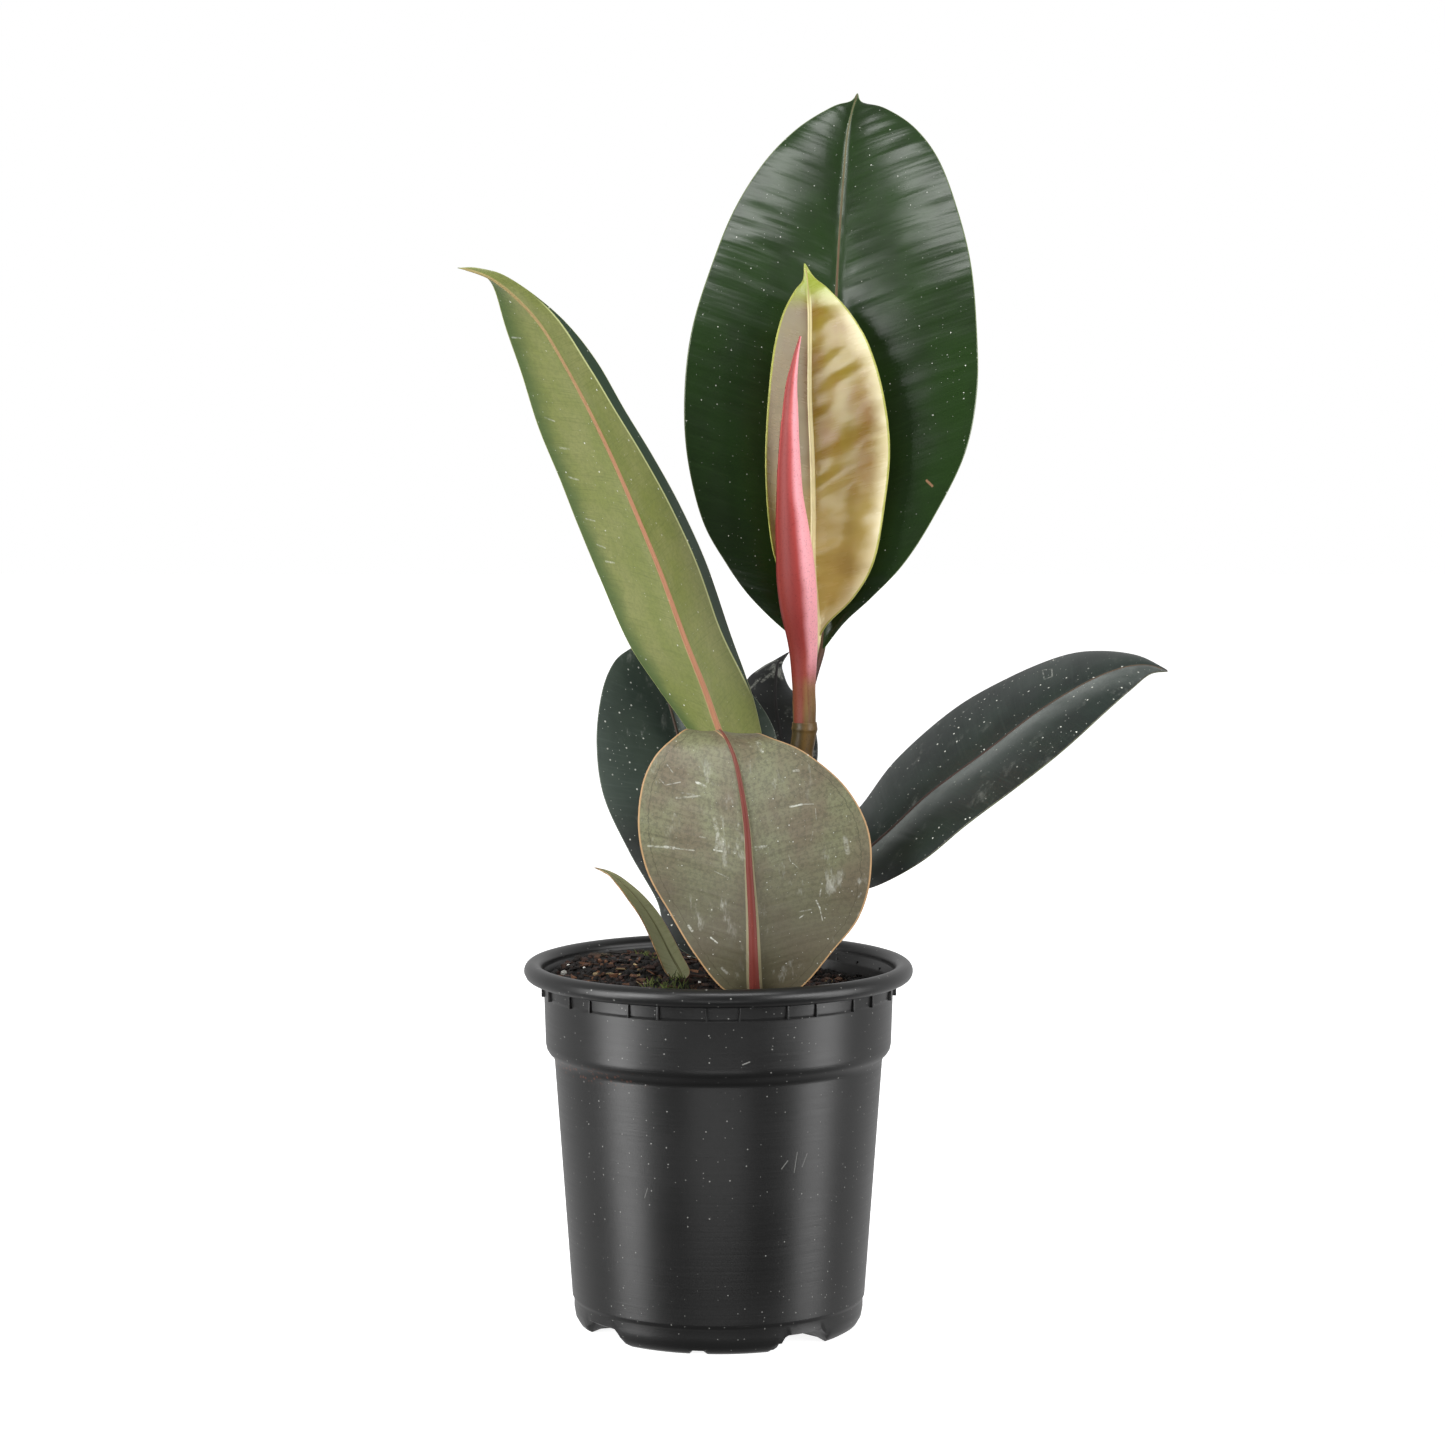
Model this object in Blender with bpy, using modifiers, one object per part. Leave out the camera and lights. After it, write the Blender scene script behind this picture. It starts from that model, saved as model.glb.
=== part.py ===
# Potted rubber plant: a black grower pot with soil and one leafy shoot.
# The tables are in millimetres and the meshes in metres. The frame's origin is on the floor
# under the pot's axis, +Z is up and -Y is the side seen in front.

import math

import bmesh
import bpy
import numpy as np
from mathutils import Vector

MM = 0.001

# Pot
TURN_STEPS = 48
BEAD_CENTRE = (74.0, 142.8)
BEAD_RADIUS = 3.6
POT_INNER = (
    (0, 1.6), (50.5, 1.6), (50.9, 8.1), (55.8, 8.1), (56.2, 11), (57, 13), (63.7, 108),
    (64.1, 109.4), (65, 110.8), (66.4, 112), (67.2, 114), (68, 134), (68.9, 138.6),
)
POT_OUTER = (
    (70.4, 139.3), (70, 134), (69.6, 133.4), (69, 113.8), (68.6, 111.8), (67.6, 110.2),
    (66.3, 109.2), (65.5, 107), (58.7, 12), (58.2, 11.2), (58, 10.4), (58, 7), (57.4, 3.6),
    (56, 1.2), (54, 0), (0, 0),
)
RIB_COUNT = 14
RIB_FIRST_DEG = 1.5
RIB_HALF_PAIR_DEG = 5.1
RIB_SIZE = (0.8, 3.4, 6.6)
RIB_RADIUS = 69.2
RIB_Z = 136.7
FOOT_DEG = -8.5
ARCH_HEIGHT = 6.5
ARCH_HALF_WIDTHS = (13.5, 9.0)
ARCH_INNER_RADIUS = 27.0
COVER_WALL = 1.6
NOTCH_SIZE = (6.5, 12.0, 3.4)

# Soil
SOIL_GAP = 0.35
SOIL_EDGE_Z = 137
SOIL_RINGS = (60, 48, 36, 24, 12, 0)
MOUNDS = ((-42, 18, 32, 3), (48, 24, 28, -3.4), (-4, 6, 28, 0.9), (14, -44, 20, -1.2))

# Stem and bud: path points with a radius each
STEM = (
    (9, 5, 104, 5.2), (9, 5, 142, 5.2), (13, 4.8, 152.5, 5.1), (18.3, 4.5, 168, 5),
    (25.8, 4, 190, 4.9), (31, 3, 220, 4.8), (33.6, 2.2, 234, 4.8), (34.2, 2, 239, 5),
    (34.2, 2, 241.6, 4.8),
)
BUD = (
    (34.2, 2, 242, 4.5), (34.2, 1.8, 248, 4.6), (34, 0.5, 256, 4.5), (33.6, -2, 272, 5.6),
    (31.7, -7, 288.5, 7.2), (30.7, -10, 299.5, 7.5), (29.8, -12.5, 310.8, 7),
    (28.8, -14.5, 321.5, 6.2), (28, -16.5, 332.5, 5.1), (27.7, -18, 343.5, 4.5),
    (27.7, -19.5, 354, 3.8), (28, -20.5, 365, 3.1), (28.5, -21.5, 375.5, 2.2),
    (30.2, -22.5, 386.5, 1.1), (31.8, -23.5, 394, 0.4),
)

# Leaves: rows from base to tip, each (midrib, left margin, right margin) as seen from the upper
# face with the tip ahead; a fourth point is where the left half turns over.
LEAF_TOP_ROWS = (
    ((41, 20, 268.5),),
    ((41.5, 19.5, 276.5), (27.5, 15.5, 276.5), (50.5, 16, 280.5)),
    ((42.5, 19, 289.5), (13, 12.5, 290.5), (61, 12.5, 290.5)),
    ((44, 19, 303.5), (3, 9.5, 304.5), (73.5, 9, 304)),
    ((45, 18.5, 320.5), (-6.5, 7, 322), (85, 7, 322)),
    ((46, 19, 341.5), (-12.5, 6, 347.5), (97.5, 6, 347.5)),
    ((46, 21, 365), (-13.5, 8, 372.5), (102.5, 8, 372.5)),
    ((46.5, 25, 391), (-10.5, 12, 397.5), (102.5, 12, 397.5)),
    ((47.5, 31, 417), (-2.5, 20, 423.5), (100.5, 19, 423)),
    ((49, 38, 440.5), (6.5, 29, 445.5), (95.5, 29, 445.5)),
    ((50.5, 45, 459.5), (18.5, 39, 464.5), (88.5, 39, 465.5)),
    ((52, 51, 475), (32, 48.5, 478.5), (79, 48.5, 479)),
    ((54, 56, 485), (46, 55, 487.5), (67.5, 55, 487)),
    ((55.5, 58.5, 490), (53.5, 58, 490), (58.5, 58, 489.5)),
    ((56.5, 60, 493.5),),
)

LEAF_YOUNG_ROWS = (
    ((39.5, 10, 274.5),),
    ((39.5, 10.5, 280.5), (35, 7, 281), (44, 8, 281)),
    ((38.5, 11, 290.5), (29.5, 1, 291.5), (54, 4, 291.5)),
    ((37.5, 12, 305.5), (22.5, -6, 306.5), (61.5, 0, 305.5)),
    ((37.5, 12.5, 325.5), (19.5, -10, 324.5), (65.5, -2, 327)),
    ((37, 12.5, 347.5), (18.5, -12, 346), (67.5, -3, 349.5)),
    ((36, 12, 369.5), (19.5, -11, 368.5), (65, -2, 371.5)),
    ((36, 11.5, 389), (21.5, -6, 387.5), (59.5, 1, 390.5)),
    ((36, 11, 403), (25, 0, 402), (52, 5, 403.5)),
    ((35.5, 10.5, 412), (30, 6, 412), (43.5, 8, 413)),
    ((35, 10, 418), (33.5, 9, 416.5), (38, 9.5, 417.5)),
    ((34, 9, 423),),
)

LEAF_LEFT_ROWS = (
    ((13.5, -8, 209),),
    ((10.5, -9, 215.5), (15.5, -3, 218.5), (5.5, -4, 213), (15.5, -2, 217.5)),
    ((5.5, -11, 227), (18, 4, 228.5), (-5, 2, 227.5), (18, 6, 228.5)),
    ((0, -14, 240.5), (15.5, 10, 245), (-14, 8, 241), (15, 13, 245.5)),
    ((-5.5, -17, 256.5), (10.5, 13, 259), (-25, 12, 256), (10.5, 17, 259.5)),
    ((-13, -21, 276), (4, 12, 274.5), (-36, 13, 273), (4.5, 17, 276)),
    ((-22.5, -26, 302.5), (-7.5, 6, 301), (-47, 11, 298.5), (-5, 13, 304)),
    ((-32, -30, 326), (-18.5, -1, 327), (-56, 6, 321), (-15.5, 7, 327.5)),
    ((-40.5, -33, 346), (-29.5, -9, 348.5), (-62.5, 0, 338.5), (-26, -1, 347)),
    ((-49.5, -36, 365), (-40.5, -17, 368.5), (-70.5, -8, 359), (-37, -9, 365.5)),
    ((-59, -39, 383), (-51, -25, 386), (-76.5, -18, 380), (-47, -18, 383.5)),
    ((-68, -42, 398), (-60.5, -32, 399.5), (-82, -28, 397.5), (-57.5, -27, 397.5)),
    ((-77.5, -45, 408.5), (-71.5, -38, 410.5), (-85.5, -38, 411.5), (-69, -35, 411)),
    ((-86, -47, 415), (-82.5, -44, 416.5), (-88.5, -45, 416.5), (-82, -43, 417)),
    ((-93, -49, 418), (-92, -48.5, 419.5), (-93.5, -48.5, 418.5), (-91.5, -48.5, 419.5)),
    ((-99, -51, 419.5),),
)

LEAF_FRONT_ROWS = (
    ((15, -45, 138.5),),
    ((14, -48.5, 143.5), (31, -46.5, 142), (2, -46.5, 142)),
    ((13.5, -53, 156.5), (44.5, -45, 157), (-9.5, -45, 156)),
    ((13, -56, 171.5), (54.5, -42, 169.5), (-19, -42, 171.5)),
    ((12, -59, 188.5), (59, -42, 185.5), (-27.5, -41, 187)),
    ((11, -61, 205.5), (58, -43, 204), (-31, -42, 204)),
    ((9, -62, 220.5), (49, -46, 221), (-29.5, -43, 221)),
    ((6.5, -61, 232.5), (33.5, -50, 234.5), (-24.5, -45, 232.5)),
    ((3.5, -57, 239.5), (20.5, -50, 240), (-16, -44, 241)),
    ((1.5, -46, 241.8), (14, -40, 240.5), (-15, -35, 242)),
    ((-0.5, -34, 238.5), (8, -30, 235), (-9, -27, 236)),
    ((-2, -24, 229),),
)

LEAF_RIGHT_ROWS = (
    ((39.5, 0, 173.5),),
    ((44.5, -1, 178), (41.5, 10, 182), (51.5, -10, 175)),
    ((53, -2, 185.5), (46.5, 19, 194), (63.5, -20, 179.5)),
    ((67.5, -5, 198.5), (58, 24, 206), (79.5, -33, 190.5)),
    ((83.5, -8, 214), (72, 25, 224.5), (95.5, -40, 205)),
    ((106, -12, 231.5), (95, 22, 245), (115, -45, 220.5)),
    ((125.5, -15, 247), (117.5, 17, 258.5), (134, -44, 235.5)),
    ((143.5, -18, 258.5), (137.5, 10, 267.5), (149.5, -39, 249)),
    ((157, -20, 264.5), (151.5, 0, 270), (161, -32, 258)),
    ((167, -21, 266), (165, -11, 269), (168.5, -26, 263)),
    ((175.5, -22, 264),),
)

LEAF_BACK_LEFT_ROWS = (
    ((9, 14, 142),),
    ((8, 15.5, 146), (-6, 15, 143.5), (13.5, 15, 148)),
    ((5.5, 18, 156), (-20.5, 17, 153), (17.5, 19, 158.5)),
    ((1, 22, 171.5), (-25, 21, 167.5), (19, 24, 175.5)),
    ((-4.5, 27, 191.5), (-36, 25, 186.5), (20, 28, 195.5)),
    ((-10.5, 31, 211.5), (-46.5, 28, 209), (21.5, 32, 214.5)),
    ((-15.5, 35, 229.5), (-49.5, 31, 230.5), (23.5, 34, 232.5)),
    ((-20, 38, 245.5), (-47.5, 34, 250.5), (14.5, 36, 249)),
    ((-24, 40, 257.5), (-42.5, 37, 263), (0.5, 38, 260.5)),
    ((-26.5, 41, 265.5), (-35, 39, 269), (-14, 40, 267.5)),
    ((-29, 42, 271.5),),
)

LEAF_BACK_ROWS = (
    ((32, 13, 204.5),),
    ((31.5, 19, 207.5), (28.5, 21, 206), (35, 18, 209.5)),
    ((30, 28, 214), (24, 36, 211.5), (38.5, 26, 217.5)),
    ((27.5, 38, 224), (16, 48, 222.5), (40.5, 37, 226)),
    ((25, 48, 234.5), (11, 58, 234), (39.5, 48, 235)),
    ((23.5, 57, 244), (9.5, 67, 245), (36, 58, 243.5)),
    ((23.5, 65, 251.5), (12, 74, 253), (29.5, 66, 250)),
    ((24, 70, 257), (18, 75, 258), (27, 71, 255.5)),
    ((25, 74, 260.5), (23.5, 76, 261), (26.5, 74, 259.5)),
    ((29.5, 77, 264.5),),
)

LEAF_SMALL_ROWS = (
    ((-14.5, -14, 140),),
    ((-15.5, -14.5, 144), (-11.5, -9, 143), (-20.5, -19, 144)),
    ((-19.5, -16, 151.5), (-15, -6, 150), (-24.5, -24, 154)),
    ((-25.5, -18, 163.5), (-20.5, -6, 160.5), (-30, -27, 166.5)),
    ((-32.5, -20, 174), (-27, -9, 170.5), (-36, -27, 175.5)),
    ((-40, -21, 181.5), (-35.5, -14, 179.5), (-42, -25, 183)),
    ((-45, -21.5, 185), (-42.5, -19, 184.5), (-45.5, -23, 185)),
    ((-49, -22, 186.5),),
)

# Leaves on the stem: height of the joint, the way the petiole leaves the stem, its radius there,
# and path points with a radius each on the way to the blade
ON_STEM = {
    "leaf_top": (228, (-0.05, 0.95, 0.3), 2, ((34.6, 13.5, 239, 1.8), (36.9, 17, 254, 1.7))),
    "leaf_young": (237, (0.35, 0.9, 0.3), 1.6, ((36.7, 9.6, 246, 1.4), (37.2, 10, 261, 1.4))),
    "leaf_left": (196, (-0.9, -0.4, 0.2), 1.9, ((17.2, -3, 200, 1.7),)),
    "leaf_right": (167, (1, -0.1, 0), 1.9, ((30, 2.2, 168, 1.8),)),
    "leaf_back": (198, (0.25, 0.95, 0.2), 1.9, ((30, 12, 200.5, 1.7),)),
}
# Leaves standing in the soil: height of the petiole's end and its radius
IN_SOIL = {"leaf_front": (112, 2.8), "leaf_back_left": (106, 2.3), "leaf_small": (112, 1.7)}
LEAVES = {
    "leaf_top": (LEAF_TOP_ROWS, 1.8, 0.5),
    "leaf_young": (LEAF_YOUNG_ROWS, 1.5, 0.4),
    "leaf_left": (LEAF_LEFT_ROWS, 1.8, 0.5),
    "leaf_front": (LEAF_FRONT_ROWS, 2.7, 0.6),
    "leaf_right": (LEAF_RIGHT_ROWS, 1.8, 0.5),
    "leaf_back_left": (LEAF_BACK_LEFT_ROWS, 2.2, 0.5),
    "leaf_back": (LEAF_BACK_ROWS, 1.7, 0.4),
    "leaf_small": (LEAF_SMALL_ROWS, 1.6, 0.4),
}
JOINT_GAP = 0.3
BLADE_THICKNESS = 0.8
BLADE_QUADS = (8, 18)
RIB_STEPS = 12
BULGE = 0.09
END_SHARE = 0.08
FOLD_AT = 0.75
RIB_DROP = 0.45
RIB_END = 0.9

MATERIALS = {
    "pot": ((0.018, 0.018, 0.019), 0.36, 0),
    "soil": ((0.03, 0.019, 0.013), 0.95, 0),
    "stem": ((0.13, 0.1, 0.035), 0.4, 0),
    "bud_sheath": ((0.6, 0.13, 0.13), 0.38, 0),
    "leaf_top": ((0.018, 0.055, 0.024), 0.36, 0),
    "leaf_young": ((0.36, 0.26, 0.06), 0.3, 0),
    "leaf_left": ((0.27, 0.36, 0.1), 0.5, 0),
    "leaf_front": ((0.2, 0.22, 0.12), 0.55, 0),
    "leaf_right": ((0.015, 0.03, 0.028), 0.36, 0),
    "leaf_back_left": ((0.012, 0.035, 0.03), 0.4, 0),
    "leaf_back": ((0.01, 0.018, 0.018), 0.4, 0),
    "leaf_small": ((0.2, 0.24, 0.12), 0.55, 0),
}


# Scene and objects
def clear_scene():
    for obj in list(bpy.data.objects):
        bpy.data.objects.remove(obj, do_unlink=True)
    for collection in list(bpy.data.collections):
        bpy.data.collections.remove(collection)


def new_collection(name, parent):
    collection = bpy.data.collections.new(name)
    parent.children.link(collection)
    return collection


def material_for(name):
    color, roughness, metallic = MATERIALS[name]
    material = bpy.data.materials.new(name)
    material.use_nodes = True
    shader = material.node_tree.nodes["Principled BSDF"]
    shader.inputs["Base Color"].default_value = (*color, 1)
    shader.inputs["Roughness"].default_value = roughness
    shader.inputs["Metallic"].default_value = metallic
    material.diffuse_color = (*color, 1)
    return material


def object_from(name, bm, collection):
    mesh = bpy.data.meshes.new(name)
    bm.to_mesh(mesh)
    bm.free()
    obj = bpy.data.objects.new(name, mesh)
    collection.objects.link(obj)
    return obj


def finish_piece(obj, sharp_deg=35):
    obj.data.shade_smooth()
    obj.data.set_sharp_from_angle(angle=math.radians(sharp_deg))
    obj.data.materials.clear()
    obj.data.materials.append(material_for(obj.name))


def hide_tool(obj):
    obj.hide_render = True
    obj.display_type = "WIRE"


def add_boolean(obj, operation, operand):
    modifier = obj.modifiers.new(operation.lower(), "BOOLEAN")
    modifier.operation = operation
    modifier.solver = "EXACT"
    if isinstance(operand, bpy.types.Collection):
        modifier.operand_type = "COLLECTION"
        modifier.collection = operand
    else:
        modifier.object = operand


def baked(obj):
    graph = bpy.context.evaluated_depsgraph_get()
    mesh = bpy.data.meshes.new_from_object(obj.evaluated_get(graph))
    bm = bmesh.new()
    bm.from_mesh(mesh)
    bpy.data.meshes.remove(mesh)
    bmesh.ops.remove_doubles(bm, verts=bm.verts, dist=1e-6)
    return bm


# Turned shapes
def turned(name, profile, collection):
    bm = bmesh.new()
    points = [bm.verts.new((r * MM, 0, z * MM)) for r, z in profile]
    for first, second in zip(points, points[1:]):
        bm.edges.new((first, second))
    obj = object_from(name, bm, collection)
    screw = obj.modifiers.new("turn", "SCREW")
    screw.axis = "Z"
    screw.steps = TURN_STEPS
    screw.render_steps = TURN_STEPS
    screw.use_merge_vertices = True
    screw.merge_threshold = 0.00001
    return obj


def bead_arc():
    r, z = BEAD_CENTRE
    angles = [math.radians(a) for a in range(190, -101, -29)]
    return [(r + BEAD_RADIUS * math.cos(a), z + BEAD_RADIUS * math.sin(a)) for a in angles]


# Blocks placed round the pot's axis; angles run from the front towards the right
def block(name, size, radius, z, deg, collection, top_share=1.0):
    bm = bmesh.new()
    bmesh.ops.create_cube(bm, size=1)
    turn = math.radians(deg)
    for vert in bm.verts:
        share = top_share if vert.co.z > 0 else 1
        across = vert.co.x * size[0] * share
        out = radius - vert.co.y * size[1]
        x = out * math.sin(turn) + across * math.cos(turn)
        y = -out * math.cos(turn) + across * math.sin(turn)
        vert.co = Vector((x, y, z + vert.co.z * size[2])) * MM
    bm.normal_update()
    bmesh.ops.recalc_face_normals(bm, faces=bm.faces)
    obj = object_from(name, bm, collection)
    hide_tool(obj)
    return obj


def add_ribs(collection):
    for k in range(RIB_COUNT):
        for side in (-1, 1):
            deg = RIB_FIRST_DEG + k * 360 / RIB_COUNT + side * RIB_HALF_PAIR_DEG
            block(f"rib_{k}_{side}", RIB_SIZE, RIB_RADIUS, RIB_Z, deg, collection)


def add_covers(collection, grow):
    low, top = ARCH_HALF_WIDTHS
    wall = COVER_WALL + grow
    inner = ARCH_INNER_RADIUS - wall
    height = ARCH_HEIGHT + wall - 0.8
    size = (2 * (low + wall), 52.5 - inner, height)
    for k in range(4):
        deg = FOOT_DEG + 45 + 90 * k
        radius = (52.5 + inner) / 2
        share = (top + wall) / (low + wall)
        block(f"cover_{k}", size, radius, 0.8 + height / 2, deg, collection, share)


def add_arches(collection):
    low, top = ARCH_HALF_WIDTHS
    length = 70 - ARCH_INNER_RADIUS
    size = (2 * low, length, 2 * ARCH_HEIGHT)
    notch_z = NOTCH_SIZE[2] / 2 - 1.7
    for k in range(4):
        deg = FOOT_DEG + 45 + 90 * k
        radius = ARCH_INNER_RADIUS + length / 2
        block(f"arch_{k}", size, radius, 0, deg, collection, top / low)
        block(f"notch_{k}", NOTCH_SIZE, 56, notch_z, deg + 45, collection)


def make_pot(pieces, tools):
    profile = list(POT_INNER) + bead_arc() + list(POT_OUTER)
    pot = turned("pot", profile, pieces)
    added = new_collection("pot_added", tools)
    add_ribs(added)
    add_covers(added, 0)
    cut = new_collection("pot_cut", tools)
    add_arches(cut)
    add_boolean(pot, "UNION", added)
    add_boolean(pot, "DIFFERENCE", cut)
    finish_piece(pot, 30)
    return pot


# Soil: the pot's inner shape filled, its top moved into low mounds
def soil_height(x, y):
    height = 0
    for cx, cy, spread, rise in MOUNDS:
        height += rise * math.exp(-((x - cx) ** 2 + (y - cy) ** 2) / (2 * spread ** 2))
    return height


def make_soil(pieces, tools):
    wall = [(r - SOIL_GAP, z + SOIL_GAP) if r else (r, z + SOIL_GAP) for r, z in POT_INNER[:-2]]
    wall = wall[::-1]
    profile = [(0, SOIL_EDGE_Z)] + [(r, SOIL_EDGE_Z) for r in SOIL_RINGS[-2::-1]]
    profile += [(POT_INNER[-2][0] - SOIL_GAP - 0.15, SOIL_EDGE_Z)] + wall
    rough = turned("soil_rough", profile, tools)
    bm = baked(rough)
    bpy.data.objects.remove(rough, do_unlink=True)
    bmesh.ops.triangulate(bm, faces=bm.faces)
    for vert in bm.verts:
        if vert.co.z > (SOIL_EDGE_Z - 1) * MM:
            vert.co.z += soil_height(vert.co.x / MM, vert.co.y / MM) * MM
    soil = object_from("soil", bm, pieces)
    cut = new_collection("soil_cut", tools)
    add_covers(cut, 0.3)
    holes = [("stem_hole", STEM[0])]
    holes += [(f"{name}_hole", leaf_path(name)[0]) for name in IN_SOIL]
    for name, (x, y, z, radius) in holes:
        bottom, top = z - 0.3, 150
        bm = bmesh.new()
        bmesh.ops.create_cone(
            bm, segments=20, cap_ends=True, radius1=(radius + 0.35) * MM,
            radius2=(radius + 0.35) * MM, depth=(top - bottom) * MM,
        )
        bmesh.ops.translate(bm, verts=bm.verts, vec=Vector((x, y, (top + bottom) / 2)) * MM)
        hide_tool(object_from(name, bm, cut))
    add_boolean(soil, "DIFFERENCE", cut)
    finish_piece(soil, 40)
    return soil


# Tubes along a path of (x, y, z, radius)
def smooth(points, t):
    """Catmull-Rom through the rows of an array, t from 0 to 1."""
    count = len(points)
    place = min(max(t, 0), 1) * (count - 1)
    i = min(int(place), count - 2)
    f = place - i
    b, c = points[i], points[i + 1]
    a = points[i - 1] if i > 0 else 2 * b - c
    d = points[i + 2] if i + 2 < count else 2 * c - b
    return 0.5 * (2 * b + (c - a) * f + (2 * a - 5 * b + 4 * c - d) * f ** 2
                  + (3 * b - a - 3 * c + d) * f ** 3)


def tube(name, path, collection, resolution=2):
    data = bpy.data.curves.new(name, "CURVE")
    data.dimensions = "3D"
    data.bevel_depth = MM
    data.bevel_resolution = resolution
    data.use_fill_caps = True
    line = data.splines.new("POLY")
    line.points.add(len(path) - 1)
    for point, (x, y, z, radius) in zip(line.points, path):
        point.co = (x * MM, y * MM, z * MM, 1)
        point.radius = radius
    curve = bpy.data.objects.new(name, data)
    collection.objects.link(curve)
    bm = baked(curve)
    bpy.data.objects.remove(curve, do_unlink=True)
    bmesh.ops.recalc_face_normals(bm, faces=bm.faces)
    return object_from(name, bm, collection)


def smooth_path(rows, count):
    points = np.array(rows, float)
    return [tuple(smooth(points, k / count)) for k in range(count + 1)]


# Blades: sections across the midrib, each half a curve from the midrib to its margin
def unit(v):
    return v / np.linalg.norm(v)


def blade_columns(rows):
    """Arrays of midrib, margins and the control points of both halves, row by row."""
    full = [row if len(row) > 1 else None for row in rows]
    table = []
    for k, row in enumerate(rows):
        mid = np.array(row[0], float)
        if full[k] is None:
            near = [np.array(p, float) for p in rows[k + 1 if k == 0 else k - 1]]
            left = mid + END_SHARE * (near[1] - near[0])
            right = mid + END_SHARE * (near[2] - near[0])
            fold = None
        else:
            left, right = np.array(row[1], float), np.array(row[2], float)
            fold = np.array(row[3], float) if len(row) > 3 else None
        table.append((mid, left, right, fold))
    mids = [r[0] for r in table]
    columns = []
    for k, (mid, left, right, fold) in enumerate(table):
        ahead = mids[min(k + 1, len(mids) - 1)] - mids[max(k - 1, 0)]
        up = unit(np.cross(right - left, ahead))
        sides = []
        for edge in (left, right):
            width = np.linalg.norm(edge - mid)
            sides.append((mid + edge) / 2 + up * width * BULGE)
        if fold is not None:
            a, b = (1 - FOLD_AT) ** 2, FOLD_AT ** 2
            sides[0] = (fold - a * mid - b * left) / (2 * FOLD_AT * (1 - FOLD_AT))
        columns.append(np.concatenate([mid, left, right, sides[0], sides[1], up]))
    return np.array(columns)


def blade_point(columns, across, t):
    row = smooth(columns, t)
    mid, left, right, turn_left, turn_right = (row[3 * k:3 * k + 3] for k in range(5))
    edge, turn = (left, turn_left) if across < 0 else (right, turn_right)
    u = abs(across)
    return (1 - u) ** 2 * mid + 2 * u * (1 - u) * turn + u ** 2 * edge


def even_steps(columns, count):
    """Values of t that step evenly along the midrib, closer together at both ends."""
    fine = np.linspace(0, 1, 201)
    mids = np.array([smooth(columns, t)[:3] for t in fine])
    length = np.concatenate([[0], np.cumsum(np.linalg.norm(np.diff(mids, axis=0), axis=1))])
    share = np.linspace(0, 1, count + 1)
    share = 0.5 * share + 0.25 * (1 - np.cos(math.pi * share))
    return np.interp(share * length[-1], length, fine)


def stem_joint(height, way, radius):
    """The first two path points of a petiole that leaves the stem at a height."""
    stem = np.array(smooth_path(STEM, 60))
    k = int(np.argmin(abs(stem[:, 2] - height)))
    along = unit(stem[k + 1, :3] - stem[k - 1, :3])
    way = np.array(way, float)
    way = unit(way - along * np.dot(way, along))
    start = stem[k, :3] + way * (stem[k, 3] + JOINT_GAP)
    return [np.append(start, radius), np.append(start + way * 1.6, radius)]


def leaf_path(name):
    """Path points with a radius each, from the petiole's end along the under side of the midrib."""
    rows, base_radius, tip_radius = LEAVES[name]
    columns = blade_columns(rows)
    rib = []
    for t in np.linspace(0, RIB_END, RIB_STEPS):
        row = smooth(columns, t)
        radius = base_radius + (tip_radius - base_radius) * t / RIB_END
        under = row[:3] - unit(row[15:18]) * radius * RIB_DROP
        rib.append(np.append(under, radius))
    if name in IN_SOIL:
        end_z, radius = IN_SOIL[name]
        x, y, z = rib[0][:3]
        return [np.array((x, y, end_z, radius)), np.array((x, y, z - 2, radius))] + rib
    height, way, radius, between = ON_STEM[name]
    return stem_joint(height, way, radius) + [np.array(p, float) for p in between] + rib


def make_leaf(name, pieces, tools):
    columns = blade_columns(LEAVES[name][0])
    bm = bmesh.new()
    across, along = BLADE_QUADS
    bmesh.ops.create_grid(bm, x_segments=across, y_segments=along, size=1)
    steps = even_steps(columns, along)
    for vert in bm.verts:
        row = round((vert.co.y + 1) / 2 * along)
        vert.co = Vector(blade_point(columns, vert.co.x, steps[row])) * MM
    bmesh.ops.triangulate(bm, faces=bm.faces)
    leaf = object_from(name, bm, pieces)
    shell = leaf.modifiers.new("shell", "SOLIDIFY")
    shell.thickness = BLADE_THICKNESS * MM
    shell.offset = 0
    rib = tube(f"{name}_rib", leaf_path(name), tools, 1)
    hide_tool(rib)
    add_boolean(leaf, "UNION", rib)
    finish_piece(leaf, 50)
    return leaf


def main():
    clear_scene()
    root = bpy.context.scene.collection
    pieces = new_collection("potted_rubber_plant", root)
    tools = new_collection("cutters", root)
    make_pot(pieces, tools)
    make_soil(pieces, tools)
    finish_piece(tube("stem", smooth_path(STEM, 22), pieces, 4))
    finish_piece(tube("bud_sheath", smooth_path(BUD, 24), pieces, 4))
    for name in LEAVES:
        make_leaf(name, pieces, tools)


main()
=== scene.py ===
"""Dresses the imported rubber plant: finer leaves, pot, potting mix and shoot, with their finishes.

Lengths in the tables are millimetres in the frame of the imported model, and meshes are in metres.
"""

from __future__ import annotations

import logging
import math
import random
from dataclasses import dataclass
from enum import Enum
from functools import partial
from typing import Callable, Sequence

import bmesh
import bpy
import numpy as np
from mathutils import Matrix, Vector, noise


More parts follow.
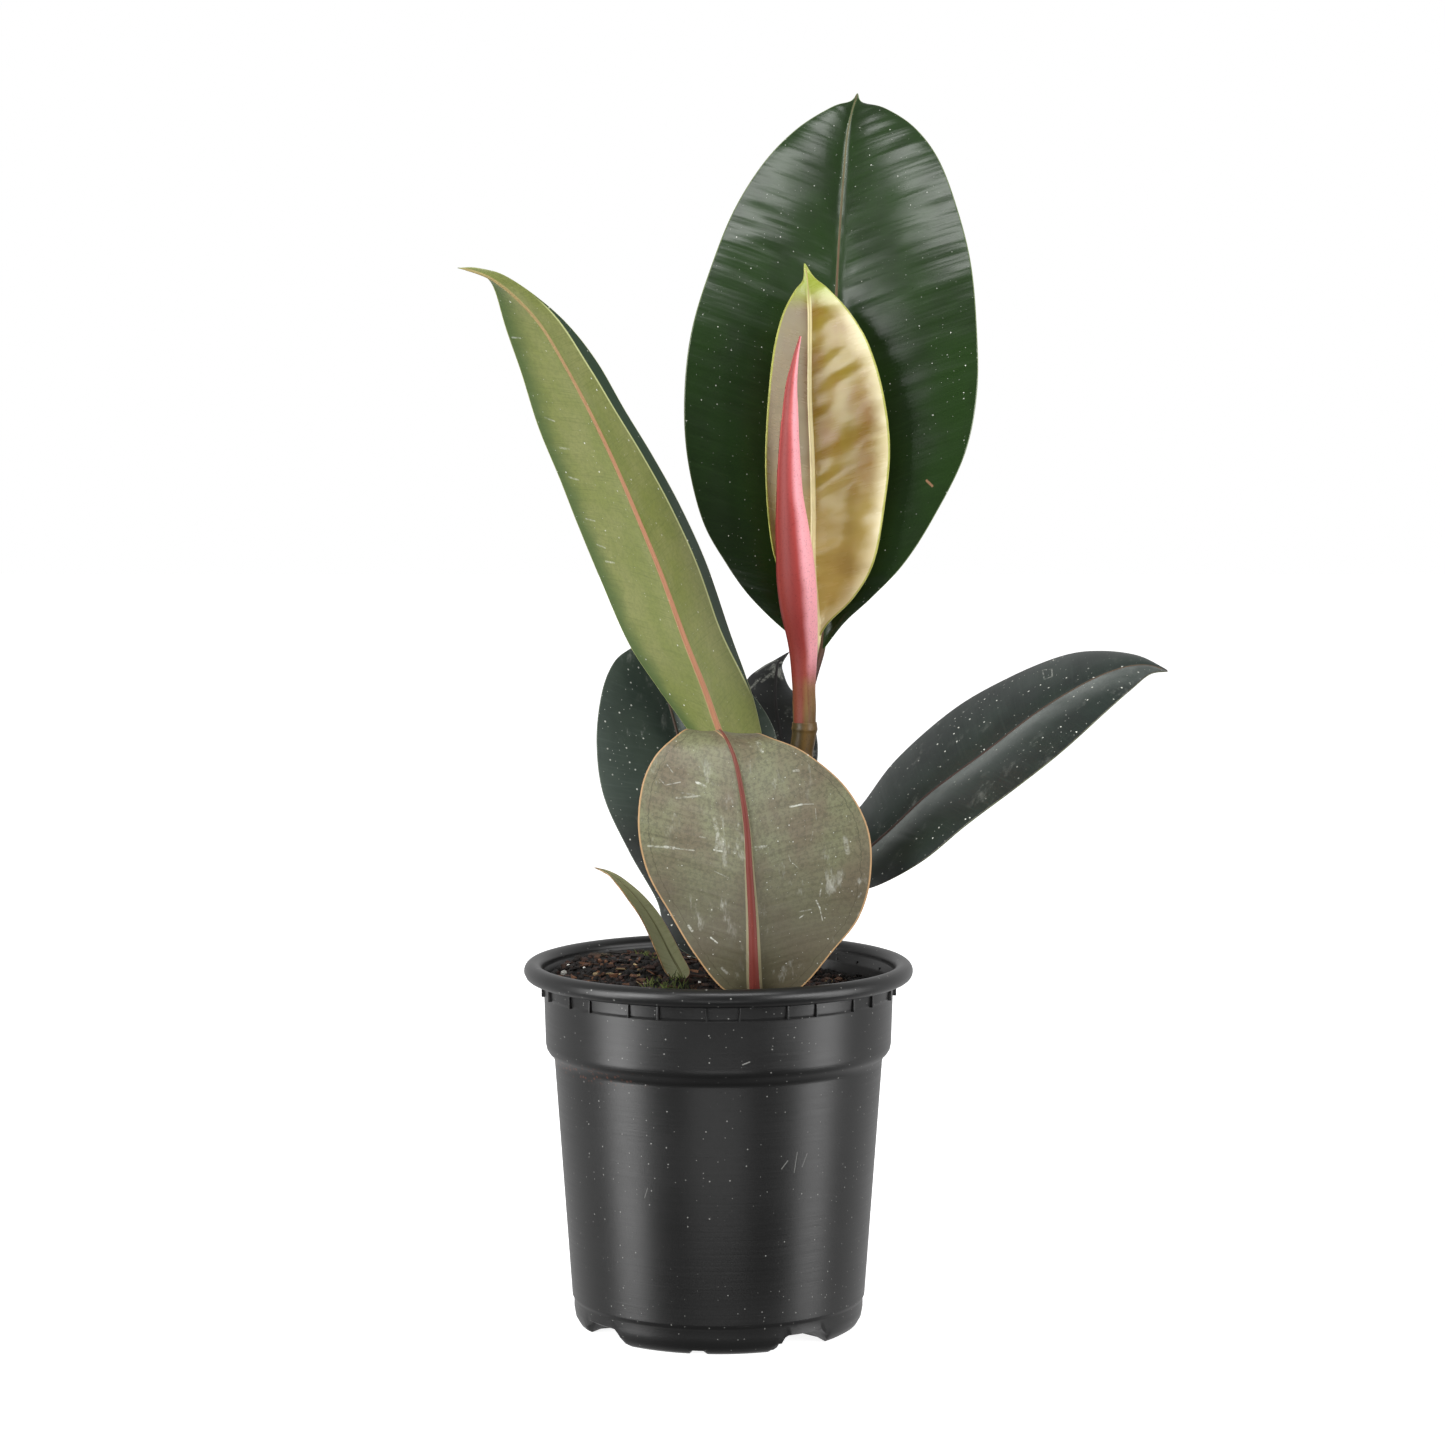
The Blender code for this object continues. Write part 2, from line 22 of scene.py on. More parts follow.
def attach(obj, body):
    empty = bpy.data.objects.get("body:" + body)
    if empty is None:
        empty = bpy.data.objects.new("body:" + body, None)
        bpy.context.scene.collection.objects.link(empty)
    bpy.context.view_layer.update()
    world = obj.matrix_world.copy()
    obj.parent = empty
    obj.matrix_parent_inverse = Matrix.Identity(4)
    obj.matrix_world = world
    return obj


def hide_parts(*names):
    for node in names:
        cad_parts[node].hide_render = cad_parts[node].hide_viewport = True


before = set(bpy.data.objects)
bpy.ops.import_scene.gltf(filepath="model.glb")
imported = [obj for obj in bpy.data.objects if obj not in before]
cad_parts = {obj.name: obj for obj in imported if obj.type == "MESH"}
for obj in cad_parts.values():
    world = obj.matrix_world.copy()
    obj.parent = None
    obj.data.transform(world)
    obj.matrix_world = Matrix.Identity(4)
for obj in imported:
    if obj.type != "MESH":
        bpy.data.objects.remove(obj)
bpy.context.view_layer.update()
LOG = logging.getLogger("rubber_plant")
MM = 0.001
Colour = tuple[float, float, float]
Point = tuple[float, ...]


def srgb(red: float, green: float, blue: float) -> Colour:
    """Turns display values from 0 to 255 into linear light.

    Args:
        red: Display red.
        green: Display green.
        blue: Display blue.

    Returns:
        The linear colour.
    """
    parts = []
    for value in (red, green, blue):
        share = value / 255
        parts.append(share / 12.92 if share <= 0.04045 else ((share + 0.055) / 1.055) ** 2.4)
    return parts[0], parts[1], parts[2]


class Wire:
    """A node's output socket that takes part in Python arithmetic."""

    def __init__(self, nodes: Nodes, socket: bpy.types.NodeSocket) -> None:
        """Keeps the socket and the maker of its tree."""
        self.nodes = nodes
        self.socket = socket

    def _math(self, operation: str, first: Value, second: Value) -> Wire:
        """Adds a Math node on two values."""
        return self.nodes.make("Math", {"operation": operation}, {0: first, 1: second})

    def __add__(self, other: Value) -> Wire:
        """Sum."""
        return self._math("ADD", self, other)

    def __radd__(self, other: Value) -> Wire:
        """Sum with the number first."""
        return self._math("ADD", other, self)

    def __sub__(self, other: Value) -> Wire:
        """Difference."""
        return self._math("SUBTRACT", self, other)

    def __rsub__(self, other: Value) -> Wire:
        """Difference with the number first."""
        return self._math("SUBTRACT", other, self)

    def __mul__(self, other: Value) -> Wire:
        """Product."""
        return self._math("MULTIPLY", self, other)

    def __rmul__(self, other: Value) -> Wire:
        """Product with the number first."""
        return self._math("MULTIPLY", other, self)

    def __truediv__(self, other: Value) -> Wire:
        """Quotient."""
        return self._math("DIVIDE", self, other)

    def __pow__(self, other: Value) -> Wire:
        """Power."""
        return self._math("POWER", self, other)

    def __abs__(self) -> Wire:
        """Size without its sign."""
        return self._math("ABSOLUTE", self, 0.0)

    def most(self, other: Value) -> Wire:
        """The larger of the two."""
        return self._math("MAXIMUM", self, other)

    def least(self, other: Value) -> Wire:
        """The smaller of the two."""
        return self._math("MINIMUM", self, other)

    def rise(self, low: float, high: float) -> Wire:
        """Goes smoothly from 0 at low to 1 at high.

        Args:
            low: Value that gives 0.
            high: Value that gives 1; below low, the step falls.

        Returns:
            The step.
        """
        settings = {"interpolation_type": "SMOOTHSTEP", "clamp": True}
        ends = (low, high, 0.0, 1.0) if low < high else (high, low, 1.0, 0.0)
        return self.nodes.make(
            "MapRange", settings, {0: self, 1: ends[0], 2: ends[1], 3: ends[2], 4: ends[3]}
        )


Value = Wire | float | int


class Nodes:
    """Makes the nodes of one material."""

    def __init__(self, name: str) -> None:
        """Starts a material with its Principled shader and output.

        Args:
            name: The material's name.
        """
        self.material = bpy.data.materials.new(name)
        self.material.use_nodes = True
        self.tree = self.material.node_tree
        self.tree.nodes.clear()
        self.shader = self.tree.nodes.new("ShaderNodeBsdfPrincipled")
        output = self.tree.nodes.new("ShaderNodeOutputMaterial")
        self.tree.links.new(self.shader.outputs[0], output.inputs[0])

    def make(
        self,
        kind: str,
        settings: dict | None = None,
        inputs: dict | None = None,
        output: int | str = 0,
    ) -> Wire:
        """Adds a node.

        Args:
            kind: The node's type after ShaderNode.
            settings: Attributes of the node, or a ramp's stops under "stops".
            inputs: Values or wires by socket name or number.
            output: The socket to return.

        Returns:
            The output as a wire.
        """
        node = self.tree.nodes.new(f"ShaderNode{kind}")
        for key, value in (settings or {}).items():
            if key == "stops":
                self._set_stops(node.color_ramp, value)
            else:
                setattr(node, key, value)
        for key, value in (inputs or {}).items():
            self.feed(node.inputs[key], value)
        return Wire(self, node.outputs[output])

    def _set_stops(self, ramp: bpy.types.ColorRamp, stops: Sequence[tuple]) -> None:
        """Gives a colour ramp its stops.

        Args:
            ramp: The ramp.
            stops: Pairs of a place from 0 to 1 and a colour.
        """
        ends = ((ramp.elements[0], stops[0]), (ramp.elements[1], stops[-1]))
        for element, (place, colour) in ends:
            element.position, element.color = place, (*colour, 1.0)
        for place, colour in stops[1:-1]:
            ramp.elements.new(place).color = (*colour, 1.0)

    def feed(self, socket: bpy.types.NodeSocket, value: Value | Sequence[float]) -> None:
        """Links a wire to a socket or sets its value.

        Args:
            socket: The socket.
            value: A wire, a number, a vector or a colour.
        """
        if isinstance(value, Wire):
            self.tree.links.new(value.socket, socket)
        elif socket.type == "RGBA":
            socket.default_value = (*value, 1.0)
        else:
            socket.default_value = value

    def place(self) -> Wire:
        """The point in the frame, in metres."""
        return self.make("TexCoord", output="Object")

    def stored(self, name: str) -> Wire:
        """A number kept on the piece's own points."""
        settings = {"attribute_type": "GEOMETRY", "attribute_name": name}
        return self.make("Attribute", settings, output="Fac")

    def vector(self, x: Value, y: Value, z: Value) -> Wire:
        """Three values as one vector."""
        return self.make("CombineXYZ", inputs={0: x, 1: y, 2: z})

    def axes(self, vector: Wire) -> tuple[Wire, Wire, Wire]:
        """Splits a vector.

        Args:
            vector: The vector.

        Returns:
            Its three values.
        """
        split = self.make("SeparateXYZ", inputs={0: vector})
        outputs = split.socket.node.outputs
        return tuple(Wire(self, outputs[k]) for k in range(3))

    def stretched(self, vector: Wire, scale: Point, shift: Point = (0, 0, 0)) -> Wire:
        """A vector multiplied and shifted along its axes."""
        inputs = {"Vector": vector, "Scale": scale, "Location": shift}
        return self.make("Mapping", {"vector_type": "POINT"}, inputs)

    def cloud(self, vector: Wire, scale: float, detail: float = 2.0, rough: float = 0.5) -> Wire:
        """Noise from 0 to 1."""
        inputs = {"Vector": vector, "Scale": scale, "Detail": detail, "Roughness": rough}
        return self.make("TexNoise", {"noise_dimensions": "3D"}, inputs)

    def cells(self, vector: Wire, scale: float, flat: bool = True) -> tuple[Wire, Wire]:
        """Looks up a pattern of scattered points.

        Args:
            vector: Where to look it up.
            scale: Points per unit.
            flat: Whether the vector is a place on a surface.

        Returns:
            Distance to the nearest point, and that point's own random number.
        """
        inputs = {"Vector": vector, "Scale": scale}
        settings = {"voronoi_dimensions": "2D" if flat else "3D", "feature": "F1"}
        near = self.make("TexVoronoi", settings, inputs)
        colour = Wire(self, near.socket.node.outputs["Color"])
        return near, self.axes(colour)[0]

    def blend(self, share: Value, first: Wire | Colour, second: Wire | Colour) -> Wire:
        """Goes from the first colour to the second."""
        settings = {"data_type": "RGBA", "clamp_factor": True}
        return self.make("Mix", settings, {0: share, 6: first, 7: second}, output=2)

    def specks(
        self, vector: Wire, scale: float, size: float, keep: float, flat: bool = True
    ) -> Wire:
        """Scattered round dots.

        Args:
            vector: Where to look the pattern up.
            scale: Cells per unit.
            size: Dot radius as a share of a cell.
            keep: Share of the cells that hold a dot.
            flat: Whether the vector is a place on a surface.

        Returns:
            1 in a dot and 0 outside.
        """
        distance, chance = self.cells(vector, scale, flat)
        inside = (distance / size).rise(1.0, 0.55)
        return inside * chance.rise(1.0 - keep, 1.0 - keep * 0.6)

    def stroke(self, u: Wire, v: Wire, line: Stroke) -> Wire:
        """A soft short line on a surface.

        Args:
            u: First surface coordinate.
            v: Second surface coordinate.
            line: The line's ends, width and strength.

        Returns:
            Its strength on the line and 0 outside.
        """
        run, lift = line.u1 - line.u0, line.v1 - line.v0
        length = max(math.hypot(run, lift), 1e-6)
        along = ((u - line.u0) * (run / length) + (v - line.v0) * (lift / length))
        along = along.most(0.0).least(length)
        away_u = u - line.u0 - along * (run / length)
        away_v = v - line.v0 - along * (lift / length)
        away = (away_u * away_u + away_v * away_v) ** 0.5
        return away.rise(line.width, line.width * 0.35) * line.strength

    def bump(self, height: Wire, strength: float, reach: float, under: Wire | None = None) -> Wire:
        """Turns a height into a normal.

        Args:
            height: Height pattern.
            strength: How much of it shows.
            reach: Its depth in metres.
            under: A normal to build on.

        Returns:
            The bent normal.
        """
        inputs = {"Height": height, "Strength": strength, "Distance": reach}
        if under is not None:
            inputs["Normal"] = under
        return self.make("Bump", inputs=inputs)

    def dress(self, **sockets: Value | Sequence[float] | Wire) -> bpy.types.Material:
        """Feeds the shader's sockets.

        Args:
            sockets: Values by socket name, with spaces written as underscores.

        Returns:
            The material.
        """
        for name, value in sockets.items():
            self.feed(self.shader.inputs[name.replace("_", " ")], value)
        return self.material


@dataclass(frozen=True)
class Stroke:
    """A scratch or smear from one surface point to another, in millimetres."""

    u0: float
    v0: float
    u1: float
    v1: float
    width: float
    strength: float = 1.0


@dataclass(frozen=True)
class Roll:
    """A strip in the colour of the leaf's other face, with a pale line, painted along the left
    margin where the real leaf curls over.
    """

    start: float
    end: float
    width: float
    colour: Colour
    line: Colour
    line_width: float = 1.2
    start_run: float = 50.0
    end_run: float = 45.0

    def paint(self, n: Nodes, colour: Wire, across: Wire, along: Wire, edge: Wire) -> Wire:
        """Lays the strip and the pale line beside it over a colour.

        Args:
            n: The material's nodes.
            colour: The colour so far.
            across: Distance from the midrib, negative on the left.
            along: Distance from the blade's base.
            edge: Distance from the margin.

        Returns:
            The colour with the strip.
        """
        window = along.rise(self.start, self.start + self.start_run)
        window = window * along.rise(self.end, self.end - self.end_run)
        inner, left = edge - window * self.width, across.rise(0.0, -2.0)
        line = abs(inner - self.line_width * 0.5).rise(self.line_width * 0.8, 0.1)
        line = line * window.rise(0.03, 0.3) * left
        strip = inner.rise(0.3, -0.3) * window.rise(0.0, 0.06) * left
        return n.blend(strip, n.blend(line * 0.85, colour, self.line), self.colour)


@dataclass(frozen=True)
class LeafSkin:
    """Finish of one face of a leaf, patterned by the blade's own distances."""

    name: str
    main: Colour
    patch: Colour
    vein: Colour
    vein_share: float = 0.3
    vein_scale: float = 0.75
    # painted reflection laid over the left half
    left_painted_reflection: Colour | None = None
    roll: Roll | None = None
    # painted light beside the midrib: painted shading on the young leaf, a painted sheen on the
    # right leaf
    near_rib_painted_light: Colour | None = None
    near_rib_reach: float = 8.0
    near_side: int = 0
    rib: Colour | None = None
    rib_width: tuple[float, float] = (1.2, 0.4)
    rib_run: float = 200.0
    border: Colour | None = None
    margin: Colour | None = None
    margin_width: float = 0.6
    # painted light along the margin of the half where across is positive: painted shading on the
    # left leaf, painted reflections on the young leaf
    edge_painted_light: Colour | None = None
    edge_painted_reach: float = 7.0
    inner_line: Colour | None = None
    dust: float = 0.0
    dust_cell: float = 7.0
    dust_size: float = 0.062
    haze: float = 0.0
    roughness: float = 0.38
    relief: float = 0.5
    wrinkle: float = 0.0
    mottle: float = 0.0
    tip: Colour | None = None
    tip_from: float = 408.0
    scars: tuple[Stroke, ...] = ()
    scar: Colour = srgb(112, 84, 58)
    # painted light towards the blade's base: painted shading on the front leaf, a painted shadow on
    # the back-left leaf, a painted brightening on the young leaf
    base_painted_light: Colour | None = None
    base_reach: tuple[float, float] = (45.0, 15.0)
    strokes: tuple[Stroke, ...] = ()
    scratch: Colour = srgb(214, 216, 206)

    def build(self) -> bpy.types.Material:
        """Makes the material.

        Returns:
            The material.
        """
        n = Nodes(self.name)
        across, along, edge = (n.stored(key) for key in ("across", "along", "edge"))
        away = abs(across)
        skew = along - away * 0.24
        broad = n.cloud(n.vector(across * 0.05, along * 0.035, 0.0), 1.0, 3.0, 0.55)
        fine = n.cloud(n.vector(skew * self.vein_scale, across * 0.045, 3.0), 1.0, 3.0, 0.65)
        grain = n.cloud(n.place(), 1400.0, 2.0, 0.6)
        colour = n.blend(broad.rise(0.36, 0.66), self.main, self.patch)
        colour = n.blend(fine.rise(0.5, 0.72) * self.vein_share, colour, self.vein)
        # Painted reflection over the left half.
        if self.left_painted_reflection is not None:
            colour = n.blend(across.rise(0.3, -0.3) * 0.75, colour, self.left_painted_reflection)
        # Painted light beside the midrib, on one side only where near_side is set.
        if self.near_rib_painted_light is not None:
            reach = away.rise(self.near_rib_reach, 0.0) * broad.rise(0.2, 0.6)
            if self.near_side:
                reach = reach * across.rise(-0.4 * self.near_side, 0.4 * self.near_side)
            colour = n.blend(reach * 0.85, colour, self.near_rib_painted_light)
        if self.mottle > 0:
            fleck = n.cloud(n.place(), 620.0, 3.0, 0.75).rise(0.42, 0.62)
            colour = n.blend(fleck * self.mottle, colour, tuple(part * 0.55 for part in self.vein))
        # Painted light towards the blade's base.
        if self.base_painted_light is not None:
            colour = n.blend(along.rise(*self.base_reach) * 0.8, colour, self.base_painted_light)
        # Painted light along the margin, with a wandering reach, on the half where across is
        # positive.
        if self.edge_painted_light is not None:
            wander = n.cloud(n.vector(along * 0.09, across * 0.06, 2.0), 1.0, 4.0, 0.6)
            reach = (edge / (wander * 1.4 + 0.3)).rise(self.edge_painted_reach, 0.0)
            colour = n.blend(reach * across.rise(-1.0, 1.0), colour, self.edge_painted_light)
        if self.inner_line is not None:
            wander = n.cloud(n.vector(along * 0.3, across * 0.05, 7.0), 1.0, 4.0, 0.7)
            offset = abs(edge - 2.6 - wander * 3.4)
            colour = n.blend(offset.rise(0.32, 0.05) * 0.6, colour, self.inner_line)
        if self.border is not None:
            colour = n.blend(self._line(away, along, 0.4) * 0.8, colour, self.border)
        if self.rib is not None:
            colour = n.blend(self._line(away, along, 0.0), colour, self.rib)
        if self.roll is not None:
            colour = self.roll.paint(n, colour, across, along, edge)
        if self.margin is not None:
            reach = edge.rise(self.margin_width, self.margin_width * 0.5)
            colour = n.blend(reach, colour, self.margin)
        if self.tip is not None:
            height = n.axes(n.place())[2] * 1000.0
            reach = height.rise(self.tip_from - 5.0, self.tip_from + 8.0)
            colour = n.blend(reach, colour, self.tip)
        for scar in self.scars:
            colour = n.blend(n.stroke(across, along, scar), colour, self.scar)
        marks = self._marks(n, across, along)
        dull = self.roughness + fine * 0.06 + (broad - 0.5) * 0.12
        if marks is not None:
            colour = n.blend(marks, colour, self.scratch)
            dull = dull + marks * 0.3
        folds = n.cloud(n.vector(skew * 0.16, away * 0.012, 5.0), 1.0, 2.0, 0.5)
        normal = n.bump(folds * away.rise(0.0, 9.0), self.relief, 0.0009)
        if self.wrinkle > 0:
            crease = n.cloud(n.vector(skew * 0.075, across * 0.035, 9.0), 1.0, 1.2, 0.4)
            normal = n.bump(crease, 1.0, self.wrinkle, normal)
        normal = n.bump(fine, self.relief * 0.8, 0.0001, normal)
        normal = n.bump(grain, 0.12, 0.00003, normal)
        return n.dress(Base_Color=colour, Roughness=dull, Normal=normal)

    def _line(self, away: Wire, along: Wire, more: float) -> Wire:
        """Paints the midrib's line, which narrows towards the tip.

        Args:
            away: Distance from the midrib.
            along: Distance from the blade's base.
            more: Extra half width.

        Returns:
            1 on the line and 0 beside it.
        """
        base, tip = self.rib_width
        half = along.rise(0.0, self.rib_run) * (tip - base) / 2 + base / 2 + more
        return (away - half).rise(0.15, -0.15)

    def _marks(self, n: Nodes, across: Wire, along: Wire) -> Wire | None:
        """Puts dust, haze and scratches together.

        Args:
            n: The material's nodes.
            across: Distance from the midrib, negative on the left.
            along: Distance from the blade's base.

        Returns:
            Their strength, or nothing on a clean face.
        """
        marks = None
        spot = n.place()
        if self.dust > 0:
            region = n.cloud(spot, 22.0, 2.0).rise(0.3, 0.6)
            flat = n.vector(across, along, 0.0)
            fine = n.specks(flat, 1.0 / self.dust_cell, self.dust_size, 0.6 * self.dust)
            shifted = n.stretched(flat, (1, 1, 1), (3.7, 9.1, 0))
            tiny = n.specks(shifted, 2.6 / self.dust_cell, self.dust_size * 1.3, 0.35 * self.dust)
            marks = fine.most(tiny * 0.7) * (region * 0.75 + 0.25)
        if self.haze > 0:
            smear = n.cloud(n.stretched(spot, (1.0, 1.0, 0.45)), 150.0, 4.0, 0.7)
            region = n.cloud(spot, 35.0, 1.0)
            film = smear.rise(0.56, 0.78) * region.rise(0.42, 0.62) * self.haze
            marks = film if marks is None else marks.most(film)
        if self.strokes:
            broken = n.cloud(n.stretched(spot, (1.0, 1.0, 1.6)), 520.0, 3.0, 0.7).rise(0.38, 0.6)
        for line in self.strokes:
            mark = n.stroke(across, along, line) * (broken * 0.8 + 0.1)
            marks = mark if marks is None else marks.most(mark)
        return marks


@dataclass(frozen=True)
class RibSkin:
    """Finish of a midrib and its petiole."""

    name: str
    under: Colour
    upper: Colour
    petiole: Colour
    dot: Colour
    tip: Colour
    roughness: float = 0.5

    def build(self) -> bpy.types.Material:
        """Makes the material.

        Returns:
            The material.
        """
        n = Nodes(self.name)
        spot = n.place()
        side, stalk = n.stored("side"), n.stored("stalk")
        round_it = n.vector(n.stored("level") * 3.0, side * 3.0, n.stored("length") * 0.035)
        streak = n.cloud(round_it, 1.0, 3.0)
        colour = n.blend(side.rise(-0.2, 0.3), self.upper, self.under)
        colour = n.blend((stalk * -1.0).rise(0.45, 1.0) * 0.8, colour, self.tip)
        colour = n.blend(stalk.rise(0.0, 0.25), colour, self.petiole)
        colour = n.blend(streak.rise(0.45, 0.7) * 0.35, colour, tuple(c * 0.55 for c in self.under))
        colour = n.blend(n.specks(spot, 900.0, 0.16, 0.3, False) * 0.7, colour, self.dot)
        normal = n.bump(streak + n.cloud(spot, 1800.0), 0.35, 0.00012)
        return n.dress(
            Base_Color=colour, Roughness=self.roughness + streak * 0.12, Normal=normal,
            Specular_IOR_Level=0.35,
        )


@dataclass(frozen=True)
class MarginSkin:
    """Finish of the thin rim of a leaf."""

    name: str
    colour: Colour
    mottle: Colour

    def build(self) -> bpy.types.Material:
        """Makes the material.

        Returns:
            The material.
        """
        n = Nodes(self.name)
        patches = n.cloud(n.place(), 260.0, 3.0)
        colour = n.blend(patches.rise(0.4, 0.65), self.colour, self.mottle)
        normal = n.bump(patches, 0.2, 0.0001)
        return n.dress(Base_Color=colour, Roughness=patches * 0.15 + 0.38, Normal=normal)


@dataclass(frozen=True)
class PotSkin:
    """Finish of the black moulded pot: fine turning lines, scuffs, dust, a soil stain and painted
    shading on the inner wall.
    """

    name: str = "pot_plastic"
    colour: Colour = srgb(14, 14, 14)
    worn: Colour = srgb(25, 25, 25)
    dust: Colour = srgb(150, 150, 146)
    stain: Colour = srgb(88, 50, 36)
    # painted shading on the inner wall
    inside: Colour = srgb(13, 11, 9)
    roughness: float = 0.36
    scuffs: tuple[Stroke, ...] = (
        Stroke(8.5, 116.5, 11.0, 117.5, 0.35, 0.6),
        Stroke(25.0, 74.0, 27.5, 77.0, 0.3, 0.5),
        Stroke(30.5, 72.0, 31.5, 80.0, 0.25, 0.4),
        Stroke(34.0, 74.0, 36.0, 79.0, 0.25, 0.35),
        Stroke(-30.0, 62.0, -28.5, 66.0, 0.25, 0.3),
    )

    def build(self) -> bpy.types.Material:
        """Makes the material.

        Returns:
            The material.
        """
        n = Nodes(self.name)
        spot = n.place()
        x, y, z = n.axes(spot)
        lines = n.cloud(n.stretched(spot, (14.0, 14.0, 900.0)), 1.0, 3.0, 0.7)
        broad = n.cloud(n.stretched(spot, (9.0, 9.0, 26.0)), 1.0, 3.0)
        grain = n.cloud(spot, 1500.0, 2.0, 0.7)
        colour = n.blend(broad.rise(0.35, 0.7) * 0.6, self.colour, self.worn)
        turn = n.make("Math", {"operation": "ARCTAN2"}, {0: x, 1: y * -1.0})
        around, up = turn * 63.0, z * 1000.0
        flat = n.vector(around, up, 0.0)
        marks = n.specks(flat, 0.36, 0.095, 0.15) * broad.rise(0.3, 0.6)
        marks = marks.most(n.specks(n.stretched(flat, (1, 1, 1), (3.1, 7.7, 0)), 0.13, 0.045, 0.32))
        marks = marks * (grain * 0.8 + 0.35)
        for scuff in self.scuffs:
            marks = marks.most(n.stroke(around, up, scuff))
        wear = n.cloud(n.stretched(spot, (30.0, 30.0, 600.0)), 1.0, 4.0, 0.8).rise(0.66, 0.8)
        wear = wear * broad.rise(0.45, 0.7) * 0.35
        colour = n.blend(marks.most(wear), colour, self.dust)
        soiled = up.rise(113.0, 108.0) * up.rise(104.0, 107.5) * turn.rise(-0.35, -0.7)
        fleck = n.specks(n.stretched(flat, (1, 1, 1), (0.7, 0.3, 0)), 0.55, 0.35, 0.5)
        colour = n.blend(soiled * fleck * 0.8, colour, self.stain)
        # Painted shading on the inner wall, from about 112 mm up.
        radius = (x * x + y * y) ** 0.5 * 1000.0
        inside = (radius - up * 0.045).rise(63.6, 63.0) * up.rise(112.0, 118.0)
        colour = n.blend(inside * 0.8, colour, self.inside)
        dull = lines * 0.1 + broad * 0.1 + self.roughness - 0.1 + marks * 0.2
        normal = n.bump(lines, 0.6, 0.00006)
        normal = n.bump(grain, 0.25, 0.00004, normal)
        return n.dress(Base_Color=colour, Roughness=dull, Normal=normal, Specular_IOR_Level=0.55)


@dataclass(frozen=True)
class MixSkin:
    """Finish of the potting mix: each crumb carries its kind and tone."""

    name: str = "potting_mix"
    dark: Colour = srgb(28, 22, 19)
    bark: Colour = srgb(62, 38, 29)
    chip: Colour = srgb(104, 70, 48)
    straw: Colour = srgb(176, 152, 112)
    perlite: Colour = srgb(232, 230, 222)
    moss: Colour = srgb(92, 104, 48)

    def build(self) -> bpy.types.Material:
        """Makes the material.

        Returns:
            The material.
        """
        n = Nodes(self.name)
        spot = n.place()
        kind, tone = n.stored("kind"), n.stored("tone")
        stops = ((0.0, self.dark), (0.2, self.bark), (0.4, self.chip), (0.6, self.straw),
                 (0.8, self.perlite), (1.0, self.moss))
        colour = n.make("ValToRGB", {"stops": stops}, {"Fac": kind})
        grain = n.cloud(spot, 900.0, 4.0, 0.75)
        dim = grain * 0.7 + tone * 0.9
        black = tuple(part * 0.35 for part in self.dark)
        colour = n.blend(dim.rise(0.35, 1.2), black, colour)
        normal = n.bump(grain, 0.8, 0.0004)
        return n.dress(Base_Color=colour, Roughness=grain * 0.3 + 0.7, Normal=normal)


@dataclass(frozen=True)
class ShootSkin:
    """Finish of the stem and of the sheath: a colour that changes with height, finely grained.

    The left side can take a painted shadow and the right side a painted highlight, as seen from in
    front.
    """

    name: str
    stops: tuple[tuple[float, Colour], ...]
    low: float
    high: float
    stripe: Colour
    gloss: float
    grain: float
    # painted highlight on the right side, and a painted shadow on the left side
    pale: Colour | None = None
    shadow: Colour | None = None

    def build(self) -> bpy.types.Material:
        """Makes the material.

        Returns:
            The material.
        """
        n = Nodes(self.name)
        spot = n.place()
        height = n.axes(spot)[2] * 1000.0
        share = (height - self.low) / (self.high - self.low)
        wander = n.cloud(spot, 60.0, 2.0) - 0.5
        colour = n.make("ValToRGB", {"stops": self.stops}, {"Fac": share + wander * 0.1})
        level, side, length = (n.stored(key) for key in ("level", "side", "length"))
        round_it = n.vector(level * 2.6, side * 2.6, length * 0.04)
        streak = n.cloud(round_it, 1.0, 3.0)
        colour = n.blend(streak.rise(0.5, 0.75) * 0.4, colour, self.stripe)
        right = level * -1.0
        # Painted shadow on the left side and a painted highlight on the right side.
        if self.shadow is not None:
            dusk = (right + wander * 0.4).rise(0.15, -0.3) * right.rise(-0.99, -0.88)
            colour = n.blend(dusk * 0.75, colour, self.shadow)
        if self.pale is not None:
            lit = (right + wander * 0.3).rise(0.05, 0.55) * share.rise(0.08, 0.2)
            colour = n.blend(lit * 0.9, colour, self.pale)
        colour = n.blend(n.stored("seam") * 0.75, colour, self.stripe)
        dots = n.cloud(spot, 1300.0, 2.0, 0.7)
        dark = tuple(part * 0.62 for part in self.stripe)
        colour = n.blend(dots.rise(0.52, 0.7) * self.grain, colour, dark)
        normal = n.bump(dots + streak * 0.6, 0.3, 0.0001)
        return n.dress(
            Base_Color=colour, Roughness=dots * 0.2 + self.gloss, Normal=normal,
            Specular_IOR_Level=0.4,
        )


